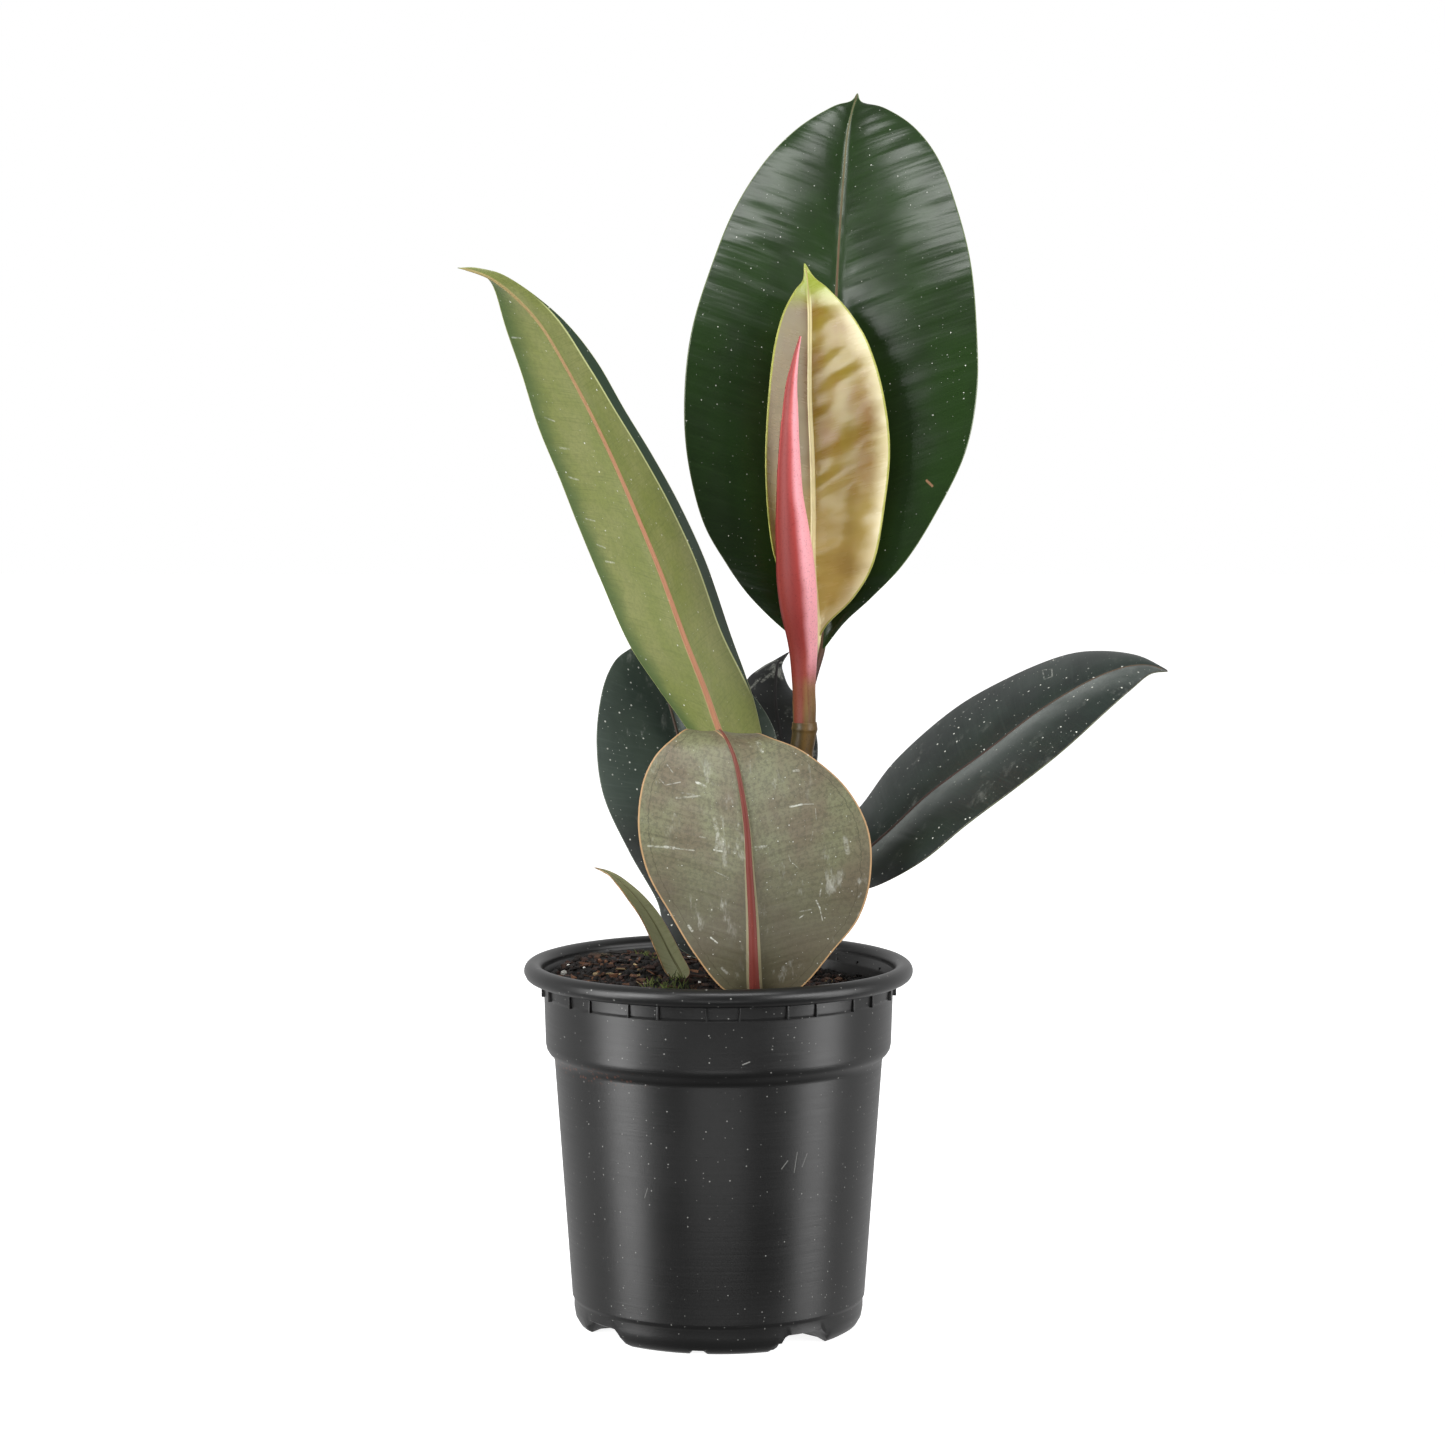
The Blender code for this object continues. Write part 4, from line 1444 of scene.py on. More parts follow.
@dataclass
class PottingMix:
    """The potting mix: the filled pot with a rough top under loose crumbs, chips and fibres."""

    inner: Sequence[Point]
    feet: Feet
    skin: MixSkin
    top: float = 137.0
    gap: float = 0.35
    steps: int = 160
    mounds: tuple[Point, ...] = (
        (-42, 20, 30, 5.6), (48, 24, 28, -3.4), (-4, 6, 28, 0.9), (14, -44, 20, -1.2),
        (-17, -20, 5, 2.4),
    )
    crumbs: int = 3000
    chips: int = 420
    stones: int = 26
    fibres: int = 90
    rim_radius: float = 66.6
    moss: tuple[tuple[tuple[float, float], int], ...] = (
        ((-19, -30), 46), ((-26, -24), 26), ((-12, -36), 14), ((-30, 30), 30), ((-15, -22), 30),
    )

    def height(self, x: float, y: float) -> float:
        """Reads the top's height, with its lumps.

        Args:
            x: Across, in millimetres.
            y: Depth, in millimetres.

        Returns:
            The height above the floor.
        """
        height = self.top
        for cx, cy, spread, rise in self.mounds:
            height += rise * math.exp(-((x - cx) ** 2 + (y - cy) ** 2) / (2 * spread**2))
        lumps = noise.noise(Vector((x, y, 3.0)) * 0.11) * 1.1
        return height + lumps + noise.noise(Vector((x, y, 9.0)) * 0.35) * 0.7

    def build(self) -> bpy.types.Object:
        """Makes the potting mix.

        Returns:
            The potting mix.
        """
        self.random = random.Random(7)
        bm = self._fresh()
        self._body(bm)
        self._strew(bm, self.crumbs, self._crumb)
        self._strew(bm, self.chips, self._chip)
        self._strew(bm, self.stones, self._stone)
        self._strew(bm, self.fibres, self._fibre)
        for spot, count in self.moss:
            self._strew(bm, count, partial(self._moss, spot))
        mix = Workshop.piece("potting_mix", bm, [self.skin.build()], 60)
        Workshop.mount(mix, "soil", "potting_mix")
        return mix

    def _body(self, bm: bmesh.types.BMesh) -> None:
        """Turns the filling and roughens its top.

        Args:
            bm: Where it is made.
        """
        wall = [(max(r - self.gap, 0.0) if r else 0.0, z + self.gap) for r, z in self.inner[:-2]]
        edge = self.inner[-2][0] - self.gap - 0.15
        top = [(r, self.top) for r in np.linspace(0, edge, 46)]
        profile = top + wall[::-1]
        line = [bm.verts.new((r * MM, 0, z * MM)) for r, z in profile]
        edges = [bm.edges.new(pair) for pair in zip(line, line[1:])]
        bmesh.ops.spin(bm, geom=line + edges, cent=(0, 0, 0), axis=(0, 0, 1), dvec=(0, 0, 0),
                       angle=2 * math.pi, steps=self.steps, use_merge=True, use_duplicate=False)
        bmesh.ops.remove_doubles(bm, verts=bm.verts, dist=1e-6)
        tone = bm.verts.layers.float["tone"]
        for vert in bm.verts:
            x, y, z = vert.co / MM
            if z > self.top - 0.5:
                vert.co.z = self.height(x, y) * MM
                vert[tone] = 0.25 + 0.3 * noise.noise(vert.co * 300)
            elif z < 10:
                vert.co.z = self.feet.lift(x, y, z, 2.1) * MM

    def _spot(self, reach: float) -> tuple[float, float]:
        """A random spot on the top."""
        turn, out = self.random.uniform(0, 2 * math.pi), math.sqrt(self.random.random()) * reach
        return out * math.cos(turn), out * math.sin(turn)

    def _mark(
        self, bm: bmesh.types.BMesh, verts: Sequence[bmesh.types.BMVert], kind: Grain
    ) -> None:
        """Gives a bit its kind and a random tone.

        Args:
            bm: Where the bit is.
            verts: Its points.
            kind: Its kind.
        """
        tone = self.random.uniform(0.1, 1.0)
        for vert in verts:
            vert[bm.verts.layers.float["kind"]] = kind.value
            vert[bm.verts.layers.float["tone"]] = tone

    def _turned(self, spot: Vector, size: Sequence[float]) -> Matrix:
        """Turns a bit at random.

        Args:
            spot: Its place.
            size: Its three sizes.

        Returns:
            The matrix from a unit shape to the bit.
        """
        turns = [self.random.uniform(0, 2 * math.pi) for _ in range(2)]
        tilt = self.random.gauss(0, 0.5)
        turn = Matrix.Rotation(turns[0], 4, "Z") @ Matrix.Rotation(tilt, 4, "X")
        return Matrix.Translation(spot * MM) @ turn @ Matrix.Diagonal((*(s * MM for s in size), 1))

    @staticmethod
    def _fresh() -> bmesh.types.BMesh:
        """Starts an empty bmesh with the layers of the potting mix.

        Returns:
            The bmesh.
        """
        bm = bmesh.new()
        for key in ("kind", "tone", "level", "side", "length"):
            bm.verts.layers.float.new(key)
        return bm

    def _strew(
        self, bm: bmesh.types.BMesh, count: int, bit: Callable[[bmesh.types.BMesh], None]
    ) -> None:
        """Makes bits in small batches and adds each batch to the potting mix.

        Args:
            bm: The potting mix.
            count: How many bits.
            bit: Makes one bit.
        """
        for start in range(0, count, 50):
            batch = self._fresh()
            for _ in range(min(50, count - start)):
                bit(batch)
            mesh = bpy.data.meshes.new("batch")
            batch.to_mesh(mesh)
            batch.free()
            bm.from_mesh(mesh)
            bpy.data.meshes.remove(mesh)

    def _crumb(self, bm: bmesh.types.BMesh) -> None:
        """Drops one crumb.

        Args:
            bm: Where it is made.
        """
        pick = self.random
        size = pick.uniform(0.35, 1.15) * (1.6 if pick.random() < 0.12 else 1.0)
        x, y = self._spot(self.rim_radius - size)
        spot = Vector((x, y, self.height(x, y) + size * pick.uniform(-0.3, 0.6)))
        sizes = [size * pick.uniform(0.7, 1.3) for _ in range(3)]
        made = bmesh.ops.create_icosphere(bm, subdivisions=1, radius=1.0,
                                          matrix=self._turned(spot, sizes))["verts"]
        kind = pick.choices((Grain.DARK, Grain.BARK, Grain.CHIP), (0.62, 0.32, 0.06))[0]
        self._mark(bm, made, kind)

    def _chip(self, bm: bmesh.types.BMesh) -> None:
        """Drops one wood chip.

        Args:
            bm: Where it is made.
        """
        pick = self.random
        long = pick.uniform(2.0, 6.0) * (1.5 if pick.random() < 0.1 else 1.0)
        x, y = self._spot(self.rim_radius - long * 0.6)
        spot = Vector((x, y, self.height(x, y) + pick.uniform(0.2, 1.4)))
        sizes = (long, pick.uniform(0.8, 2.2), pick.uniform(0.4, 1.1))
        made = bmesh.ops.create_cube(bm, size=1.0, matrix=self._turned(spot, sizes))["verts"]
        for vert in made:
            vert.co += Vector([pick.uniform(-0.35, 0.35) * MM for _ in range(3)])
        kind = pick.choices((Grain.DARK, Grain.BARK, Grain.CHIP, Grain.STRAW),
                            (0.3, 0.42, 0.22, 0.06))[0]
        self._mark(bm, made, kind)

    def _stone(self, bm: bmesh.types.BMesh) -> None:
        """Drops one white perlite stone.

        Args:
            bm: Where it is made.
        """
        pick = self.random
        size = pick.uniform(0.5, 1.4)
        x, y = self._spot(self.rim_radius - size)
        spot = Vector((x, y, self.height(x, y) + size * 0.5))
        sizes = [size * pick.uniform(0.8, 1.2) for _ in range(3)]
        made = bmesh.ops.create_icosphere(bm, subdivisions=2, radius=1.0,
                                          matrix=self._turned(spot, sizes))["verts"]
        for vert in made:
            vert.co += Vector([pick.uniform(-0.12, 0.12) * MM for _ in range(3)])
        self._mark(bm, made, Grain.PERLITE)

    def _thread(self, bm: bmesh.types.BMesh, path: Sequence[Point], kind: Grain) -> None:
        """Draws a thin bent fibre.

        Args:
            bm: Where it is made.
            path: Points with radii.
            kind: Its kind.
        """
        rows = np.array(path, float)
        fine = np.array([smooth(rows, t) for t in np.linspace(0, 1, 3 * len(path))])
        ups = np.tile((0.0, 0.31, 0.95), (len(fine), 1))
        rings = Sweep(fine, ups, 5).build(bm)
        self._mark(bm, [vert for ring in rings for vert in ring], kind)

    def _fibre(self, bm: bmesh.types.BMesh) -> None:
        """Lays one thin root or fibre on the top.

        Args:
            bm: Where it is made.
        """
        pick = self.random
        x, y = self._spot(self.rim_radius - 8)
        way, path = pick.uniform(0, 2 * math.pi), []
        radius = pick.uniform(0.12, 0.3)
        for _ in range(5):
            path.append((x, y, self.height(x, y) + pick.uniform(0.3, 1.6), radius))
            way += pick.gauss(0, 0.6)
            step = pick.uniform(1.2, 3.0)
            if math.hypot(x + math.cos(way) * step, y + math.sin(way) * step) > self.rim_radius - 1:
                way += math.pi
            x, y = x + math.cos(way) * step, y + math.sin(way) * step
        kind = pick.choices((Grain.BARK, Grain.CHIP, Grain.STRAW), (0.5, 0.35, 0.15))[0]
        self._thread(bm, path, kind)

    def _moss(self, spot: tuple[float, float], bm: bmesh.types.BMesh) -> None:
        """Plants one leaflet of a moss tuft near a spot.

        Args:
            spot: Middle of the tuft.
            bm: Where it is made.
        """
        pick = self.random
        x, y = spot[0] + pick.gauss(0, 2.4), spot[1] + pick.gauss(0, 2.4)
        z, lean, tall = self.height(x, y), pick.uniform(0, 2 * math.pi), pick.uniform(1.2, 4.0)
        run, rise = math.cos(lean), math.sin(lean)
        path = [(x, y, z, 0.26), (x + run * 0.5, y + rise * 0.5, z + tall * 0.6, 0.2),
                (x + run * 1.4, y + rise * 1.4, z + tall, 0.06)]
        self._thread(bm, path, Grain.MOSS)


@dataclass(frozen=True)
class SoftBox:
    """A rectangular light that faces the plant; its brightness is seen in reflections."""

    name: str
    spot: Point
    size: tuple[float, float]
    brightness: float
    aim: Point = (0, 0, 0.25)

    def hang(self) -> None:
        """Adds the light."""
        light = bpy.data.lights.new(self.name, "AREA")
        light.shape, light.size, light.size_y = "RECTANGLE", self.size[0], self.size[1]
        light.energy = self.brightness * math.pi * self.size[0] * self.size[1]
        obj = bpy.data.objects.new(self.name, light)
        obj.location = self.spot
        way = Vector(self.aim) - Vector(self.spot)
        obj.rotation_euler = way.to_track_quat("-Z", "Y").to_euler()
        obj.visible_camera = False
        bpy.context.scene.collection.objects.link(obj)


@dataclass
class Studio:
    """The white stage, the soft lights and the camera."""

    camera_spot: Point = (0.0016, -1.5, 0.3753)
    camera_pitch: float = 84.91
    lens: float = 94.47
    front_ambient: float = 0.1
    back_ambient: float = 0.7
    boxes: tuple[SoftBox, ...] = (
        SoftBox("left_box", (-1.2, -0.49, 0.1), (0.55, 1.15), 5.8, (0.0, 0.0, 0.1)),
        SoftBox("right_box", (1.24, -0.4, 0.1), (0.55, 1.15), 4.4, (0.0, 0.0, 0.1)),
        SoftBox("top_box", (0.15, -0.88, 1.66), (1.15, 0.42), 9.0, (0.05, 0.0, 0.45)),
        SoftBox("young_box", (-0.86, -0.83, 0.6), (0.45, 0.9), 8.5, (0.05, 0.0, 0.4)),
        SoftBox("bud_box", (0.93, -0.84, 0.42), (0.5, 0.6), 7.0, (0.03, 0.0, 0.35)),
        SoftBox("front_card", (0.0, -0.42, -0.035), (0.3, 0.07), 2.2, (0.0, 0.0, 0.02)),
    )

    def build(self) -> None:
        """Sets up the stage, the lights and the camera."""
        scene = bpy.context.scene
        scene.view_settings.view_transform = "Standard"
        self._sky(scene)
        self._floor()
        for box in self.boxes:
            box.hang()
        camera = bpy.data.cameras.new("front_camera")
        camera.lens, camera.sensor_width = self.lens, 36.0
        obj = bpy.data.objects.new("front_camera", camera)
        obj.location = self.camera_spot
        obj.rotation_euler = (math.radians(self.camera_pitch), 0, 0)
        scene.collection.objects.link(obj)
        scene.camera = obj

    def _sky(self, scene: bpy.types.Scene) -> None:
        """Sets a white backdrop that lights the plant softly from behind and hardly from in front.

        Args:
            scene: The scene.
        """
        world = bpy.data.worlds.new("studio")
        scene.world = world
        world.use_nodes = True
        tree = world.node_tree
        background = tree.nodes["Background"]
        background.inputs["Color"].default_value = (1, 1, 1, 1)
        way = tree.nodes.new("ShaderNodeSeparateXYZ")
        tree.links.new(tree.nodes.new("ShaderNodeTexCoord").outputs["Generated"], way.inputs[0])
        glow = tree.nodes.new("ShaderNodeMapRange")
        glow.interpolation_type = "SMOOTHSTEP"
        tree.links.new(way.outputs["Y"], glow.inputs["Value"])
        glow.inputs["From Min"].default_value = -0.5
        glow.inputs["From Max"].default_value = 0.8
        glow.inputs["To Min"].default_value = self.front_ambient
        glow.inputs["To Max"].default_value = self.back_ambient
        seen = tree.nodes.new("ShaderNodeLightPath").outputs["Is Camera Ray"]
        strength = tree.nodes.new("ShaderNodeMapRange")
        tree.links.new(seen, strength.inputs["Value"])
        tree.links.new(glow.outputs[0], strength.inputs["To Min"])
        tree.links.new(strength.outputs[0], background.inputs["Strength"])

    def _floor(self) -> None:
        """Lays the plain white floor, which the glossy pot doesn't mirror."""
        bm = bmesh.new()
        bmesh.ops.create_grid(bm, x_segments=1, y_segments=1, size=6.0)
        bmesh.ops.translate(bm, verts=bm.verts, vec=(0, 0, -0.0002))
        n = Nodes("white_floor")
        n.dress(Base_Color=(0.8, 0.8, 0.8), Roughness=0.9, Emission_Color=(1, 1, 1),
                Emission_Strength=0.9)
        mesh = bpy.data.meshes.new("floor")
        bm.to_mesh(mesh)
        bm.free()
        mesh.materials.append(n.material)
        floor = bpy.data.objects.new("floor", mesh)
        bpy.context.scene.collection.objects.link(floor)
        floor.visible_glossy = floor.visible_diffuse = floor.visible_shadow = False


LEAF_TOP_ROWS = (
    ((41, 20, 268.5),),
    ((41.5, 19.5, 276.5), (27.5, 15.5, 276.5), (50.5, 16, 280.5)),
    ((42.5, 19, 289.5), (13, 12.5, 290.5), (61, 12.5, 290.5)),
    ((44, 19, 303.5), (3, 9.5, 304.5), (73.5, 9, 304)),
    ((45, 18.5, 320.5), (-6.5, 7, 322), (85, 7, 322)),
    ((46, 19, 341.5), (-12.5, 6, 347.5), (97.5, 6, 347.5)),
    ((46, 21, 365), (-13.5, 8, 372.5), (102.5, 8, 372.5)),
    ((46.5, 25, 391), (-10.5, 12, 397.5), (102.5, 12, 397.5)),
    ((47.5, 31, 417), (-2.5, 20, 423.5), (100.5, 19, 423)),
    ((49, 38, 440.5), (6.5, 29, 445.5), (95.5, 29, 445.5)),
    ((50.5, 45, 459.5), (18.5, 39, 464.5), (88.5, 39, 465.5)),
    ((52, 51, 475), (32, 48.5, 478.5), (79, 48.5, 479)),
    ((54, 56, 485), (46, 55, 487.5), (67.5, 55, 487)),
    ((55.5, 58.5, 490), (53.5, 58, 490), (58.5, 58, 489.5)),
    ((56.5, 60, 493.5),),
)

LEAF_YOUNG_ROWS = (
    ((39.5, 10, 274.5),),
    ((39.5, 10.5, 280.5), (35, 7, 281), (44, 8, 281)),
    ((38.5, 11, 290.5), (29.5, 1, 291.5), (54, 4, 291.5)),
    ((37.5, 12, 305.5), (22.5, -6, 306.5), (61.5, 0, 305.5)),
    ((37.5, 12.5, 325.5), (19.5, -10, 324.5), (65.5, -2, 327)),
    ((37, 12.5, 347.5), (18.5, -12, 346), (67.5, -3, 349.5)),
    ((36, 12, 369.5), (19.5, -11, 368.5), (65, -2, 371.5)),
    ((36, 11.5, 389), (21.5, -6, 387.5), (59.5, 1, 390.5)),
    ((36, 11, 403), (25, 0, 402), (52, 5, 403.5)),
    ((35.5, 10.5, 412), (30, 6, 412), (43.5, 8, 413)),
    ((35, 10, 418), (33.5, 9, 416.5), (38, 9.5, 417.5)),
    ((34, 9, 423),),
)

LEAF_LEFT_ROWS = (
    ((13.5, -8, 209),),
    ((10.5, -9, 215.5), (15.5, -2, 217.5), (5.5, -4, 213)),
    ((5.5, -11, 227), (18, 6, 228.5), (-5, 2, 227.5)),
    ((0, -14, 240.5), (15, 13, 245.5), (-14, 8, 241)),
    ((-5.5, -17, 256.5), (10.5, 17, 259.5), (-25, 12, 256)),
    ((-13, -21, 276), (4.5, 17, 276), (-36, 13, 273)),
    ((-22.5, -26, 302.5), (-5, 13, 304), (-47, 11, 298.5)),
    ((-32, -30, 326), (-15.5, 7, 327.5), (-56, 6, 321)),
    ((-40.5, -33, 346), (-26, -1, 347), (-62.5, 0, 338.5)),
    ((-49.5, -36, 365), (-37, -9, 365.5), (-70.5, -8, 359)),
    ((-59, -39, 383), (-47, -18, 383.5), (-76.5, -18, 380)),
    ((-68, -42, 398), (-57.5, -27, 397.5), (-82, -28, 397.5)),
    ((-77.5, -45, 408.5), (-69, -35, 408.2), (-85.5, -38, 411.5)),
    ((-86, -47, 415), (-82, -43, 417), (-88.5, -45, 416.5)),
    ((-93, -49, 418), (-91.5, -48.5, 419.5), (-93.5, -48.5, 418.5)),
    ((-99, -51, 419.5),),
)

LEAF_FRONT_ROWS = (
    ((15, -45, 138.5),),
    ((14, -48.5, 143.5), (31, -46.5, 142), (2, -46.5, 142)),
    ((13.5, -53, 156.5), (44.5, -45, 157), (-9.5, -45, 156)),
    ((13, -56, 171.5), (54.5, -42, 169.5), (-19, -42, 171.5)),
    ((12, -59, 188.5), (59, -42, 185.5), (-27.5, -41, 187)),
    ((11, -61, 205.5), (58, -43, 204), (-31, -42, 204)),
    ((9, -62, 220.5), (49, -46, 221), (-29.5, -43, 221)),
    ((6.5, -61, 232.5), (33.5, -50, 234.5), (-24.5, -45, 232.5)),
    ((3.5, -57, 239.5), (20.5, -50, 240), (-17, -44.5, 239.8)),
    ((0.5, -46.5, 242.6), (14, -41, 240.8), (-11.5, -38, 242.3)),
    ((-0.5, -34, 238.5), (8, -30, 235), (-9, -27, 236)),
    ((-2, -24, 229),),
)

LEAF_RIGHT_ROWS = (
    ((39.5, 0, 173.5),),
    ((44.5, -1, 178), (41.5, 10, 182), (51.5, -10, 175)),
    ((53, -2, 185.5), (46.5, 19, 194), (63.5, -20, 179.5)),
    ((67.5, -5, 198.5), (58, 24, 206), (79.5, -33, 190.5)),
    ((83.5, -8, 214), (72, 25, 224.5), (95.5, -40, 205)),
    ((106, -12, 231.5), (95, 22, 245), (115, -45, 220.5)),
    ((125.5, -15, 247), (117.5, 17, 258.5), (134, -44, 235.5)),
    ((143.5, -18, 258.5), (137.5, 10, 267.5), (149.5, -39, 249)),
    ((157, -20, 264.5), (151.5, 0, 270), (161, -32, 258)),
    ((167, -21, 266), (165, -11, 269), (168.5, -26, 263)),
    ((175.5, -22, 264),),
)

LEAF_BACK_LEFT_ROWS = (
    ((9, 14, 142),),
    ((8, 15.5, 146), (-6, 15, 143.5), (13.5, 15, 148)),
    ((5.5, 18, 156), (-20.5, 17, 153), (17.5, 19, 158.5)),
    ((1, 22, 171.5), (-25, 21, 167.5), (19, 24, 175.5)),
    ((-4.5, 27, 191.5), (-36, 25, 186.5), (20, 28, 195.5)),
    ((-10.5, 31, 211.5), (-46.5, 28, 209), (21.5, 32, 214.5)),
    ((-15.5, 35, 229.5), (-49.5, 31, 230.5), (23.5, 34, 232.5)),
    ((-20, 38, 245.5), (-47.5, 34, 250.5), (14.5, 36, 249)),
    ((-24, 40, 257.5), (-42.5, 37, 263), (0.5, 38, 260.5)),
    ((-26.5, 41, 265.5), (-35, 39, 269), (-14, 40, 267.5)),
    ((-29, 42, 271.5),),
)

LEAF_BACK_ROWS = (
    ((32, 13, 204.5),),
    ((31.5, 19, 207.5), (28.5, 21, 206), (35, 18, 209.5)),
    ((30, 28, 214), (24, 36, 211.5), (38.5, 26, 217.5)),
    ((27.5, 38, 224), (16, 48, 222.5), (40.5, 37, 226)),
    ((25, 48, 234.5), (11, 58, 234), (39.5, 48, 235)),
    ((23.5, 57, 244), (9.5, 67, 245), (36, 58, 243.5)),
    ((23.5, 65, 251.5), (12, 74, 253), (29.5, 66, 250)),
    ((24, 70, 257), (18, 75, 258), (27, 71, 255.5)),
    ((25, 74, 260.5), (23.5, 76, 261), (26.5, 74, 259.5)),
    ((29.5, 77, 264.5),),
)

LEAF_SMALL_ROWS = (
    ((-14.5, -14, 140),),
    ((-15.5, -14.5, 144), (-11.5, -9, 143), (-20.5, -19, 144)),
    ((-19.5, -16, 151.5), (-15, -6, 150), (-24.5, -24, 154)),
    ((-25.5, -18, 163.5), (-20.5, -6, 160.5), (-30, -27, 166.5)),
    ((-32.5, -20, 174), (-27, -9, 170.5), (-36, -27, 175.5)),
    ((-40, -21, 181.5), (-35.5, -14, 179.5), (-42, -25, 183)),
    ((-45, -21.5, 185), (-42.5, -19, 184.5), (-45.5, -23, 185)),
    ((-49, -22, 186.5),),
)


POT_INNER = (
    (0, 1.6), (50.5, 1.6), (50.9, 8.1), (55.8, 8.1), (56.2, 11), (57, 13), (63.7, 108),
    (64.1, 109.4), (65, 110.8), (66.4, 112), (67.2, 114), (68, 134), (68.9, 138.6),
)
POT_OUTER = (
    (70.4, 139.3), (70, 134), (69.6, 133.4), (69, 113.8), (68.6, 111.8), (67.6, 110.2),
    (66.3, 109.2), (65.5, 107), (58.7, 12), (58.2, 11.2), (58, 10.4), (58, 7), (57.4, 3.6),
    (56, 1.2), (54, 0), (27.3, 0), (26.8, 0), (0, 0),
)
STEM_PATH = (
    (9, 5, 104, 5.2), (9, 5, 142, 5.2), (13, 4.8, 152.5, 5.1), (18.3, 4.5, 168, 5),
    (25.8, 4, 190, 4.9), (31, 3, 220, 4.8), (33.6, 2.2, 234, 4.8), (34.2, 2, 239, 5),
    (34.2, 2, 241.6, 4.8),
)
BUD_PATH = (
    (34.2, 2, 241, 4.5), (34.2, 1.8, 248, 4.6), (34, 0.5, 256, 4.5), (33.6, -2, 272, 5.6),
    (31.7, -7, 288.5, 7.2), (30.7, -10, 299.5, 7.5), (29.8, -12.5, 310.8, 7),
    (28.8, -14.5, 321.5, 6.2), (28, -16.5, 332.5, 5.1), (27.7, -18, 343.5, 4.5),
    (27.7, -19.5, 354, 3.8), (28, -20.5, 365, 3.1), (28.5, -21.5, 375.5, 2.2),
    (30.2, -22.5, 386.5, 1.1), (31.8, -23.5, 394, 0.4),
)
GREEN_UPPER = LeafSkin(
    "leaf_green_upper", srgb(31, 54, 18), srgb(26, 45, 15), srgb(38, 62, 24), 0.3,
    rib=srgb(86, 64, 44), rib_width=(1.1, 0.5), border=srgb(74, 92, 56),
    margin=srgb(112, 126, 86), margin_width=0.45, dust=0.5, dust_cell=6.0, dust_size=0.048,
    roughness=0.27, relief=0.5, wrinkle=0.0011, scar=srgb(150, 112, 84),
    scars=(Stroke(38.9, 65.6, 41.2, 63.6, 0.6, 0.9),),
)
PALE_UNDER = LeafSkin(
    "leaf_pale_under", srgb(128, 134, 84), srgb(112, 118, 76), srgb(96, 104, 62), 0.4,
    border=srgb(160, 120, 96), rib_width=(4.0, 1.4), dust=0.2, roughness=0.5,
)
DARK_UNDER = LeafSkin(
    "leaf_dark_under", srgb(104, 106, 78), srgb(88, 88, 68), srgb(74, 76, 56), 0.4,
    border=srgb(140, 84, 68), rib_width=(4.0, 1.4), dust=0.3, roughness=0.5,
)
# Young leaf's upper face: painted shading left of the midrib, a painted brightening towards the
# base, a painted reflection over the left half and painted reflections along the right margin.
YOUNG_UPPER = LeafSkin(
    "leaf_bronze_upper", srgb(150, 130, 48), srgb(142, 106, 44), srgb(176, 156, 80), 0.25,
    near_rib_painted_light=srgb(112, 76, 40), near_rib_reach=6.0, near_side=-1, rib=srgb(236, 224, 172),
    rib_width=(3.0, 1.8), margin=srgb(176, 178, 84), margin_width=0.9, roughness=0.24,
    relief=0.25, wrinkle=0.0036, base_painted_light=srgb(192, 172, 98), base_reach=(80.0, 25.0),
    left_painted_reflection=srgb(152, 146, 134), edge_painted_light=srgb(218, 208, 160), edge_painted_reach=10.0,
    tip=srgb(160, 172, 72), vein_scale=0.5,
)
YOUNG_UNDER = LeafSkin(
    "leaf_bronze_under", srgb(150, 112, 84), srgb(130, 96, 76), srgb(168, 134, 98), 0.35,
    border=srgb(200, 150, 120), rib_width=(3.4, 1.2), margin=srgb(176, 172, 84), roughness=0.34,
)
# Left leaf's under side: painted shading along the margin where the blade curves away.
LEFT_UNDER = LeafSkin(
    "leaf_left_under", srgb(117, 125, 60), srgb(128, 132, 76), srgb(90, 102, 44), 0.5,
    border=srgb(168, 150, 100), rib_width=(3.8, 0.6), margin=srgb(150, 156, 96),
    margin_width=0.4, edge_painted_light=srgb(70, 90, 38), edge_painted_reach=13.0, dust=0.3, roughness=0.46,
    mottle=0.22, vein_scale=1.7, roll=Roll(34.0, 232.0, 7.5, srgb(30, 52, 32), srgb(200, 206, 146)),
    strokes=(
        Stroke(20.0, 205.0, 16.2, 204.4, 0.5, 0.4), Stroke(29.1, 173.2, 25.0, 170.9, 0.5, 0.4),
        Stroke(30.2, 160.7, 25.6, 159.1, 0.6, 0.45), Stroke(34.6, 148.7, 29.9, 146.3, 0.6, 0.5),
        Stroke(36.8, 128.3, 31.9, 126.6, 0.5, 0.4), Stroke(37.3, 116.4, 32.9, 114.5, 0.5, 0.4),
        Stroke(36.2, 108.7, 31.3, 107.7, 0.6, 0.5),
    ),
)
